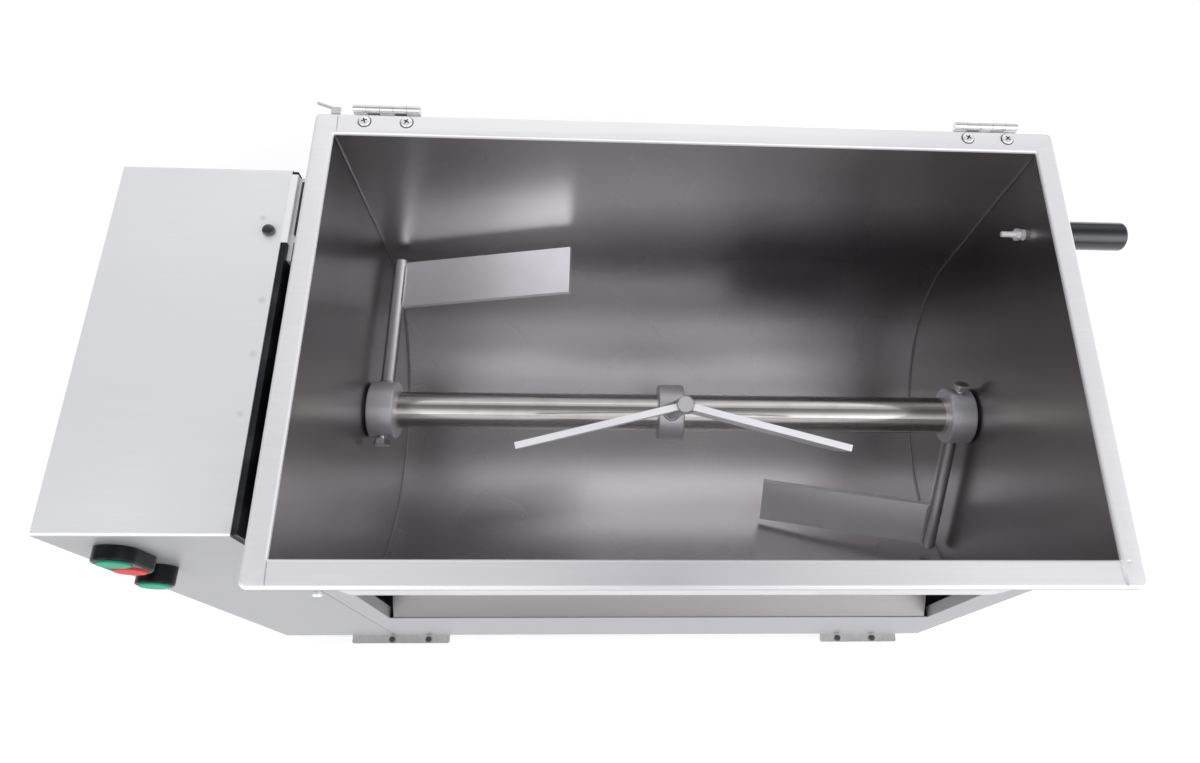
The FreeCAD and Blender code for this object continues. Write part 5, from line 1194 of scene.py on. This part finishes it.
@dataclass
class TankRim:
    """Flat flange round the tank's mouth: rolled edges, a hem, butt seams and ground welds."""

    sheet: float = 3.0
    inner_roll: float = 2.6
    outer_roll: float = 2.8
    hem_sheet: float = 2.0
    inner_corner: float = 1.2
    outer_corner: float = 6.0
    mouth_half_length: float = 331.0
    mouth_half_width: float = 191.0
    steps: int = 6
    pit_place: tuple[float, float] = (337.3, -192.6)
    pads: tuple[tuple[float, float, float, float, float], ...] = (
        (337.0, 202.5, 9.0, 5.0, 0.45), (340.5, 190.0, 5.5, 7.0, 0.35))
    seams: tuple[ButtSeam, ...] = (
        ButtSeam(1, True, -331.1, -330.3, 1.6, 0.5, 2.2), ButtSeam(2, True, 329.6, 332.2, 4.6, 0.72, 2.7),
        ButtSeam(3, False, -328.6, -328.9, 1.7, 0.3, 2.2))

    def __post_init__(self) -> None:
        """Take the outer size and heights from the frame."""
        low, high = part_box("rim_frame")
        self.half_length = (high.x - low.x) / 2 / MM
        self.half_width = (high.y - low.y) / 2 / MM
        self.top = high.z / MM
        self.bottom = low.z / MM

    def ring(self, half_x: float, half_y: float, corner: float, z: float) -> list[Vector]:
        """Rounded rectangle about the tank's middle; the back has no hem.

        Args:
            half_x: Half its length, in millimetres.
            half_y: Half its width.
            corner: Its corner radius.
            z: Its height.

        Returns:
            Its points in metres.
        """
        points = []
        for quarter, (sx, sy) in enumerate(((1, 1), (-1, 1), (-1, -1), (1, -1))):
            for step in range(self.steps + 1):
                turn = math.radians(90 * (quarter + step / self.steps))
                x = sx * (half_x - corner) + corner * math.cos(turn)
                y = sy * (half_y - corner) + corner * math.sin(turn)
                no_hem = y > half_y - corner * 0.5
                points.append(at(x, y, max(z, self.top - self.sheet) if no_hem else z))
        return points

    def profile(self) -> list[list[Vector]]:
        """Rings of the rim from the mouth's lower edge over the top to the hem.

        Returns:
            The rings in order, to be joined end to start.
        """
        mouth_x, mouth_y = self.mouth_half_length, self.mouth_half_width
        out_x, out_y = self.half_length, self.half_width
        rings = [self.ring(mouth_x, mouth_y, self.inner_corner, self.top - self.sheet)]
        for step in range(self.steps + 1):
            turn = math.radians(90 * step / self.steps)
            back = self.inner_roll * (1 - math.cos(turn))
            z = self.top - self.inner_roll * (1 - math.sin(turn))
            rings.append(self.ring(mouth_x + back, mouth_y + back, self.inner_corner + back, z))
        for step in range(self.steps + 1):
            turn = math.radians(90 * step / self.steps)
            back = self.outer_roll * (1 - math.sin(turn))
            z = self.top - self.outer_roll * (1 - math.cos(turn))
            rings.append(self.ring(out_x - back, out_y - back, self.outer_corner - back, z))
        for back, rise in ((0.0, 0.5), (0.5, 0.0), (self.hem_sheet - 0.3, 0.0), (self.hem_sheet, 0.3)):
            rings.append(self.ring(out_x - back, out_y - back, self.outer_corner - back, self.bottom + rise))
        back = self.hem_sheet
        rings.append(self.ring(out_x - back, out_y - back, self.outer_corner - back, self.top - self.sheet))
        return rings

    def seam_cutter(self, seam: "ButtSeam") -> bpy.types.Mesh:
        """Thin wavy wedge that opens the butt seam between an end strip and a long strip.

        Args:
            seam: Where the seam runs and how wide it is.

        Returns:
            The new mesh.
        """
        draws = random.Random(seam.seed)
        start, end = self.mouth_half_width + 1.2, self.half_width - 2.6
        toward = -1 if seam.front else 1
        count = 18
        rings = []
        for i in range(count + 1):
            share = i / count
            swell = share / seam.peak if share < seam.peak else (1 - share) / (1 - seam.peak)
            half = seam.width / 2 * (0.35 + 0.65 * math.sin(math.pi / 2 * swell))
            x = seam.start_x + (seam.end_x - seam.start_x) * share + draws.uniform(-0.15, 0.15)
            y = toward * (start + (end - start) * share)
            low, high = self.top - seam.depth, self.top + 0.5
            corners = ((x - half * 0.5, low), (x + half * 0.5, low), (x + half, high), (x - half, high))
            rings.append([at(cx, y, cz) for cx, cz in corners])
        return skin("seam_%d" % seam.seed, rings)

    def pit_cutter(self) -> bpy.types.Mesh:
        """Round pit left in the front right corner."""
        profile = [(0.4, -1.6), (1.2, -1.2), (1.9, -0.2), (2.2, 0.6)]
        mesh = turned("rim_pit", profile, 20)
        mesh.transform(Matrix.Translation(at(*self.pit_place, self.top)))
        return mesh

    def ground_weld(self, name: str, x: float, y: float, half_x: float, half_y: float, height: float,
                    seed: int) -> bpy.types.Mesh:
        """Low uneven pad left by grinding a weld flat.

        Args:
            name: The mesh's name.
            x: Its middle, in millimetres.
            y: Its middle.
            half_x: Half its length.
            half_y: Half its width.
            height: Its height.
            seed: Start of its random draws.

        Returns:
            The new mesh.
        """
        draws = random.Random(seed)
        lumps = [(draws.uniform(-0.7, 0.7), draws.uniform(-0.7, 0.7), draws.uniform(0.2, 0.5)) for _ in range(14)]
        segments, rings = 40, []
        for share in (1.0, 0.97, 0.85, 0.7, 0.55, 0.4, 0.25, 0.1):
            ring = []
            for j in range(segments):
                turn = 2 * math.pi * j / segments
                u, v = share * math.cos(turn), share * math.sin(turn)
                lump = sum(math.exp(-((u - a) ** 2 + (v - b) ** 2) / (c * c)) for a, b, c in lumps) / 5
                rise = height * (1 - share ** 4) * (0.35 + 0.65 * lump)
                ring.append(at(x + u * half_x, y + v * half_y, self.top + rise - 0.02))
            rings.append(ring)
        return skin(name, rings, sharp=80.0)

    def build(self, dresser: "Dresser") -> None:
        """Make the rim and its welds.

        Args:
            dresser: Gives the finishes.
        """
        block = skin("tank_rim_block", self.profile(), joined=True)
        cutters = [self.seam_cutter(seam) for seam in self.seams] + [self.pit_cutter()]
        mesh = carved("tank_rim", block, joined_mesh("rim_cutters", [(c, Matrix()) for c in cutters]))
        steel = dresser.material(RIM_STEEL)
        rim = piece("tank_rim", mesh, Body.TANK, steel)
        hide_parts("rim_frame")
        for number, (x, y, half_x, half_y, height) in enumerate(self.pads, 1):
            pad = self.ground_weld("weld_pad_%d" % number, x, y, half_x, half_y, height, number)
            piece("rim_weld_pad_%d" % number, pad, Body.TANK, steel)


@dataclass
class TankWelds:
    """Weld beads where the trough meets both end walls."""

    trough_radius: float = 191.0
    wall_top: float = 638.0
    end_x: float = 331.0
    radius: float = 1.5
    step: float = 2.4

    def path(self, side: int) -> list[Vector]:
        """Line of a seam: down the back, round the bottom and up the front.

        Args:
            side: -1 for the left end, 1 for the right.

        Returns:
            Its points.
        """
        shaft_z = SHAFT_AXIS.z / MM
        x = side * (self.end_x - 0.35)
        reach = self.trough_radius - 0.35
        straight = int((self.wall_top - shaft_z) / self.step)
        around = int(math.pi * reach / self.step)
        points = []
        for i in range(straight):
            points.append(at(x, reach, self.wall_top - i * self.step))
        for i in range(around + 1):
            turn = math.pi * i / around
            points.append(at(x, reach * math.cos(turn), shaft_z - reach * math.sin(turn)))
        for i in range(straight - 1, -1, -1):
            points.append(at(x, -reach, self.wall_top - i * self.step))
        return points

    def build(self, dresser: "Dresser") -> None:
        """Lay both beads.

        Args:
            dresser: Gives the finishes.
        """
        for name, side in (("left", -1), ("right", 1)):
            mesh = bead("tank_weld_" + name, self.path(side), self.radius, 40 + side, 0.30)
            piece("tank_weld_" + name, mesh, Body.TANK, dresser.material(WELD_STEEL))


@dataclass
class HingeScrews:
    """Cross-recessed screws through the rear rim, with their nuts below."""

    hinge_x: float = 285.0
    pitch: float = 38.5
    y: float = 204.75
    head_radius: float = 5.4
    head_height: float = 2.3
    shank_radius: float = 2.5
    shank_length: float = 9.0
    shade_washer_radius: float = 6.3
    nut_radius: float = 4.6
    nut_height: float = 3.5
    nut_z: float = 634.3

    def build(self, dresser: "Dresser") -> None:
        """Make four screws and four nuts.

        Args:
            dresser: Gives the finishes.
        """
        rim_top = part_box("rim_frame")[1].z / MM
        draws = random.Random(21)
        steel = dresser.material(SCREW_STEEL)
        screw = pan_screw("hinge_screw", self.head_radius, self.head_height, self.shank_radius, self.shank_length)
        nut = nut_mesh("hinge_nut", self.nut_radius, self.nut_height, self.shank_radius)
        # Painted shade: a thin dark washer stands in for the shade round each screw head.
        ring = turned("hinge_shade_washer", [(self.shade_washer_radius, 0.0), (self.shade_washer_radius, 0.1),
                                       (self.shade_washer_radius - 0.3, 0.15)])
        number = 0
        for side in (-1, 1):
            for step in (-0.5, 0.5):
                number += 1
                x = side * self.hinge_x + step * self.pitch
                turn = Matrix.Rotation(draws.uniform(0, math.pi / 2), 4, "Z")
                made = piece("hinge_screw_%d" % number, screw, Body.TANK, dresser.material(HINGE_SCREW),
                             Matrix.Translation(at(x, self.y, rim_top)) @ turn)
                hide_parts("hinge_screws")
                piece("hinge_washer_%d" % number, ring, Body.TANK, dresser.material(DARK_BOLT),
                      Matrix.Translation(at(x, self.y, rim_top)))
                piece("hinge_nut_%d" % number, nut, Body.TANK, steel,
                      Matrix.Translation(at(x, self.y, self.nut_z)) @ turn)


@dataclass
class HandleStud:
    """Threaded stud of the tilt handle with its two nuts inside the tank."""

    y: float = 129.0
    z: float = 592.0
    wall_x: float = 331.0
    stud_radius: float = 3.0
    thread_pitch: float = 1.0
    nut_corner: float = 5.8
    nuts: tuple[tuple[float, float, float], ...] = ((327.8, 3.2, 8.0), (321.2, 5.0, 31.0))

    def build(self, dresser: "Dresser") -> None:
        """Make the stud and its nuts.

        Args:
            dresser: Gives the finishes.
        """
        low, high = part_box("handle_stud")
        length = (high.x - low.x) / MM
        steel = dresser.material(NUT_STEEL)
        mesh = skin("handle_stud_thread", thread_rings(self.stud_radius, 0.0, length, self.thread_pitch, 28))
        start = Vector((low.x, (low.y + high.y) / 2, (low.z + high.z) / 2))
        stud = piece("handle_stud_thread", mesh, Body.TANK, steel, along(Vector((1, 0, 0)), start))
        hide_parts("handle_stud")
        for number, (x, height, turn) in enumerate(self.nuts, 1):
            nut = nut_mesh("handle_nut_%d" % number, self.nut_corner, height, self.stud_radius)
            place = along(Vector((1, 0, 0)), at(x, self.y, self.z)) @ Matrix.Rotation(math.radians(turn), 4, "Z")
            made = piece("handle_nut_%d" % number, nut, Body.TANK, steel, place)
            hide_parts("handle_nuts")


@dataclass
class PaddleFittings:
    """Clamp bolts opposite the arms, and the welds of arms and blades."""

    collars: tuple[tuple[str, float, float, tuple[int, ...]], ...] = (
        ("left", -315.0, 0.0, (1,)), ("middle", -6.0, 105.0, (-1, 1)), ("right", 315.0, 227.0, (-1,)))
    collar_radius: float = 30.5
    shaft_radius: float = 20.0
    standoff: float = 3.0
    head_corner: float = 8.5
    head_height: float = 6.4
    shank_radius: float = 4.4
    arm_radius: float = 8.0
    blade_half: float = 3.0
    blade_inner: float = 121.0
    blade_outer: float = 176.0
    sweep: float = 14.0
    root_bead: float = 1.7
    blade_bead: float = 1.9

    def local(self, x: float, angle: float, reach: float, offset: float) -> Vector:
        """Point at a reach along an arm and an offset in its turning direction, in millimetres."""
        a = math.radians(angle)
        rise = reach * math.sin(a) + offset * math.cos(a)
        return at(x, reach * math.cos(a) - offset * math.sin(a), SHAFT_AXIS.z / MM + rise)

    def bolt(self, name: str, x: float, angle: float, steel: bpy.types.Material) -> None:
        """Make one clamp bolt.

        Args:
            name: Which collar.
            x: The collar's place.
            angle: The arm's angle.
            steel: The bolt's finish.
        """
        head_at = self.collar_radius + self.standoff
        away = (self.local(x, angle + 180, head_at, 0) - self.local(x, angle, 0, 0)).normalized()
        rings = hexagon_head(self.head_corner, self.head_height)
        shank = thread_rings(self.shank_radius, -(head_at - self.shaft_radius), 0.4, 1.5)
        mesh = joined_mesh("clamp_bolt_" + name, [(skin("clamp_head", rings), Matrix()),
                                                  (skin("clamp_shank", shank), Matrix())])
        place = along(away, self.local(x, angle + 180, head_at, 0))
        made = piece("clamp_bolt_" + name, mesh, Body.AGITATOR, steel, place)
        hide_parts("clamp_bolts")

    def arm_weld(self, name: str, x: float, angle: float, steel: bpy.types.Material) -> None:
        """Weld ring where an arm stands on its collar.

        Args:
            name: Which collar.
            x: The collar's place.
            angle: The arm's angle.
            steel: The weld's finish.
        """
        path = []
        ring = self.arm_radius + 0.3
        for i in range(36):
            turn = 2 * math.pi * i / 36
            offset = ring * math.sin(turn)
            reach = math.sqrt(self.collar_radius ** 2 - offset ** 2)
            path.append(self.local(x + ring * math.cos(turn), angle, reach, offset))
        mesh = bead("arm_weld_" + name, path, self.root_bead, 60 + int(angle), closed=True)
        piece("arm_weld_" + name, mesh, Body.AGITATOR, steel)

    def blade_welds(self, name: str, x: float, angle: float, side: int, steel: bpy.types.Material) -> None:
        """Fillet welds along both faces of a blade's root.

        Args:
            name: Which collar.
            x: The collar's place.
            angle: The arm's angle.
            side: 1 for a blade that runs to the right, -1 to the left.
            steel: The weld's finish.
        """
        sweep = math.radians(self.sweep)
        along_blade = math.sqrt(self.arm_radius ** 2 - self.blade_half ** 2) + 0.2
        for face in (-1, 1):
            dx = side * (along_blade * math.cos(sweep) - face * self.blade_half * math.sin(sweep))
            offset = along_blade * math.sin(sweep) + face * self.blade_half * math.cos(sweep)
            path = []
            count = 24
            for i in range(count + 1):
                reach = self.blade_inner + 1 + (self.blade_outer - self.blade_inner - 2) * i / count
                path.append(self.local(x + dx, angle, reach, offset))
            label = "%s_%s_%s" % (name, "right" if side > 0 else "left", "rear" if face > 0 else "fore")
            mesh = bead("blade_weld_" + label, path, self.blade_bead, 80 + face + side)
            piece("blade_weld_" + label, mesh, Body.AGITATOR, steel)

    def build(self, dresser: "Dresser") -> None:
        """Make all bolts and welds.

        Args:
            dresser: Gives the finishes.
        """
        weld = dresser.material(PADDLE_WELD)
        for name, x, angle, sides in self.collars:
            self.bolt(name, x, angle, dresser.material(SCREW_STEEL))
            self.arm_weld(name, x, angle, weld)
            for side in sides:
                self.blade_welds(name, x, angle, side, weld)


@dataclass
class BracketCap:
    """Folded strip of the rest bracket over the drive plate's edge."""

    left_x: float = -364.0
    right_x: float = -358.2
    front_y: float = 81.0
    back_y: float = 150.0
    sheet: float = 1.2
    fold: float = 1.0
    steps: int = 4

    def build(self, dresser: "Dresser") -> None:
        """Make the strip.

        Args:
            dresser: Gives the finishes.
        """
        plate_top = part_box("drive_side_plate")[1].z / MM
        shelf_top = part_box("rest_bracket")[1].z / MM
        top = plate_top + self.sheet
        outline = [(self.left_x, plate_top), (self.left_x, top)]
        for step in range(self.steps + 1):
            turn = math.radians(90 * step / self.steps)
            outline.append((self.right_x - self.fold + self.fold * math.sin(turn),
                            top - self.fold + self.fold * math.cos(turn)))
        outline += [(self.right_x, shelf_top), (self.right_x - self.sheet + 0.4, shelf_top),
                    (self.right_x - self.sheet + 0.4, plate_top)]
        count = 6
        rings = []
        for i in range(count + 1):
            y = self.front_y + (self.back_y - self.front_y) * i / count
            rings.append([at(x, y, z) for x, z in outline])
        piece("rest_bracket_cap", skin("rest_bracket_cap", rings), Body.FRAME, dresser.material(BRACKET_STEEL))


@dataclass
class CabinetFittings:
    """Screws of the service cover, the front retaining screw and the plug on the top."""

    screw_xs: tuple[float, float] = (-498.5, -377.5)
    screw_zs: tuple[float, float, float] = (123.5, 344.0, 564.5)
    screw_y: float = 156.5
    screw_radius: float = 4.2
    screw_height: float = 2.6
    front_screw_x: float = -370.0
    front_screw_z: float = 380.0
    front_top: tuple[float, float] = (-173.5, 635.5)
    front_lean: float = 3.276
    front_radius: float = 5.0
    front_height: float = 4.6
    plug: tuple[float, float, float] = (-375.0, 91.0, 635.5)
    plug_radius: float = 5.5
    plug_height: float = 5.0
    plug_ribs: int = 18

    def plug_mesh(self) -> bpy.types.Mesh:
        """Ribbed plug with a domed top.

        Returns:
            The new mesh.
        """
        segments = self.plug_ribs * 6
        steps = [(1.0, 0.0, 0.05), (1.0, 0.55, 0.05), (0.96, 0.72, 0.04), (0.86, 0.88, 0.02), (0.66, 0.97, 0.0),
                 (0.35, 1.0, 0.0)]
        rings = []
        for share, rise, rib in steps:
            ring = []
            for j in range(segments):
                turn = 2 * math.pi * j / segments
                r = self.plug_radius * (share - rib * (0.5 - 0.5 * math.cos(turn * self.plug_ribs)))
                ring.append(Vector((r * math.cos(turn), r * math.sin(turn), self.plug_height * rise)) * MM)
            rings.append(ring)
        return skin("cabinet_plug", rings)

    def build(self, dresser: "Dresser") -> None:
        """Make the screws and the plug.

        Args:
            dresser: Gives the finishes.
        """
        steel = dresser.material(COVER_SCREW)
        screw = pan_screw("cover_screw", self.screw_radius, self.screw_height, 0.0, 0.0)
        draws = random.Random(33)
        number = 0
        for x in self.screw_xs:
            for z in self.screw_zs:
                number += 1
                place = along(Vector((0, 1, 0)), at(x, self.screw_y, z))
                turn = Matrix.Rotation(draws.uniform(0, math.pi / 2), 4, "Z")
                made = piece("cover_screw_%d" % number, screw, Body.FRAME, steel, place @ turn)
                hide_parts("cover_screws")
        lean = math.radians(self.front_lean)
        outward = Vector((0, -math.cos(lean), math.sin(lean)))
        top_y, top_z = self.front_top
        y = top_y - (top_z - self.front_screw_z) * math.tan(lean)
        front = pan_screw("front_screw", self.front_radius, self.front_height, 0.0, 0.0)
        piece("front_screw", front, Body.FRAME, steel,
              along(outward, at(self.front_screw_x, y, self.front_screw_z)))
        made = piece("cabinet_plug", self.plug_mesh(), Body.FRAME, dresser.material(BLACK_GLOSS),
                     Matrix.Translation(at(*self.plug)))
        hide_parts("cabinet_top_plug")


@dataclass
class FrameBolts:
    """Hexagon bolts of the bearing housings, the front foot plates and the rest bracket."""

    circle: float = 58.0
    bearing_corner: float = 9.0
    bearing_height: float = 6.4
    bearing_length: float = 14.0
    flange: float = 9.0
    drive_plate_x: float = -359.0
    foot_xs: tuple[float, ...] = (-367.0, -317.0, 262.0, 312.0)
    foot_y: float = -214.5
    foot_z: float = 24.0
    bracket_ys: tuple[float, ...] = (75.0, 141.0)
    bracket_z: float = 608.0
    bracket_sheet: float = 4.0

    def bolt(self, name: str, corner: float, height: float, shank: float, length: float) -> bpy.types.Mesh:
        """Bolt with its head on Z = 0 and its thread below.

        Args:
            name: The mesh's name.
            corner: Radius to the head's corners, in millimetres.
            height: Head height.
            shank: Thread radius.
            length: Thread length.

        Returns:
            The new mesh.
        """
        head = skin(name + "_head", hexagon_head(corner, height - 0.1))
        rod = skin(name + "_rod", thread_rings(shank, -length, 0.2, shank * 0.28, 16))
        return joined_mesh(name, [(head, Matrix()), (rod, Matrix())])

    def places(self) -> list[tuple[str, Vector, Vector]]:
        """Kind, seat and direction of each bolt.

        Returns:
            One entry for each bolt.
        """
        right_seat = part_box("frame_bolts")[1].x / MM - SHAFT_AXIS.x / MM - self.bearing_length
        shaft_z = SHAFT_AXIS.z / MM
        found = []
        for side, seat in ((1, self.drive_plate_x + self.flange), (-1, right_seat)):
            for quarter in range(4):
                a = math.radians(45 + 90 * quarter)
                y, z = self.circle * math.cos(a), shaft_z + self.circle * math.sin(a)
                found.append(("bearing", at(seat, y, z), Vector((side, 0, 0))))
        found += [("foot", at(x, self.foot_y, self.foot_z), Vector((0, 0, 1))) for x in self.foot_xs]
        bracket_x = self.drive_plate_x + self.bracket_sheet
        found += [("bracket", at(bracket_x, y, self.bracket_z), Vector((1, 0, 0))) for y in self.bracket_ys]
        return found

    def build(self, dresser: "Dresser") -> None:
        """Make all fourteen bolts.

        Args:
            dresser: Gives the finishes.
        """
        kinds = {"bearing": self.bolt("bearing_bolt", self.bearing_corner, self.bearing_height, 4.9,
                                      self.bearing_length),
                 "foot": self.bolt("foot_bolt", 4.4, 3.5, 2.4, 3.0),
                 "bracket": self.bolt("bracket_bolt", 5.8, 4.0, 2.9, 9.0)}
        draws = random.Random(14)
        for number, (kind, seat, direction) in enumerate(self.places(), 1):
            turn = 0.0 if kind == "foot" else draws.uniform(0, math.pi / 3)
            place = along(direction, seat) @ Matrix.Rotation(turn, 4, "Z")
            made = piece("%s_bolt_%d" % (kind, number), kinds[kind], Body.FRAME, dresser.material(DARK_BOLT),
                         place)
            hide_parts("frame_bolts")


def main() -> None:
    """Build the studio and the dressed machine."""
    logging.basicConfig(level=logging.INFO, format="%(name)s: %(message)s")
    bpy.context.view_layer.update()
    PhotoCamera().build()
    Studio().build()
    dresser = Dresser()
    for node, dressing in NODE_DRESSINGS.items():
        dresser.dress(node, dressing)
    for assembly in (TankRim(), TankWelds(), HingeScrews(), HandleStud(), PaddleFittings(), BracketCap(),
                     CabinetFittings(), FrameBolts()):
        assembly.build(dresser)


if __name__ == "__main__":
    main()
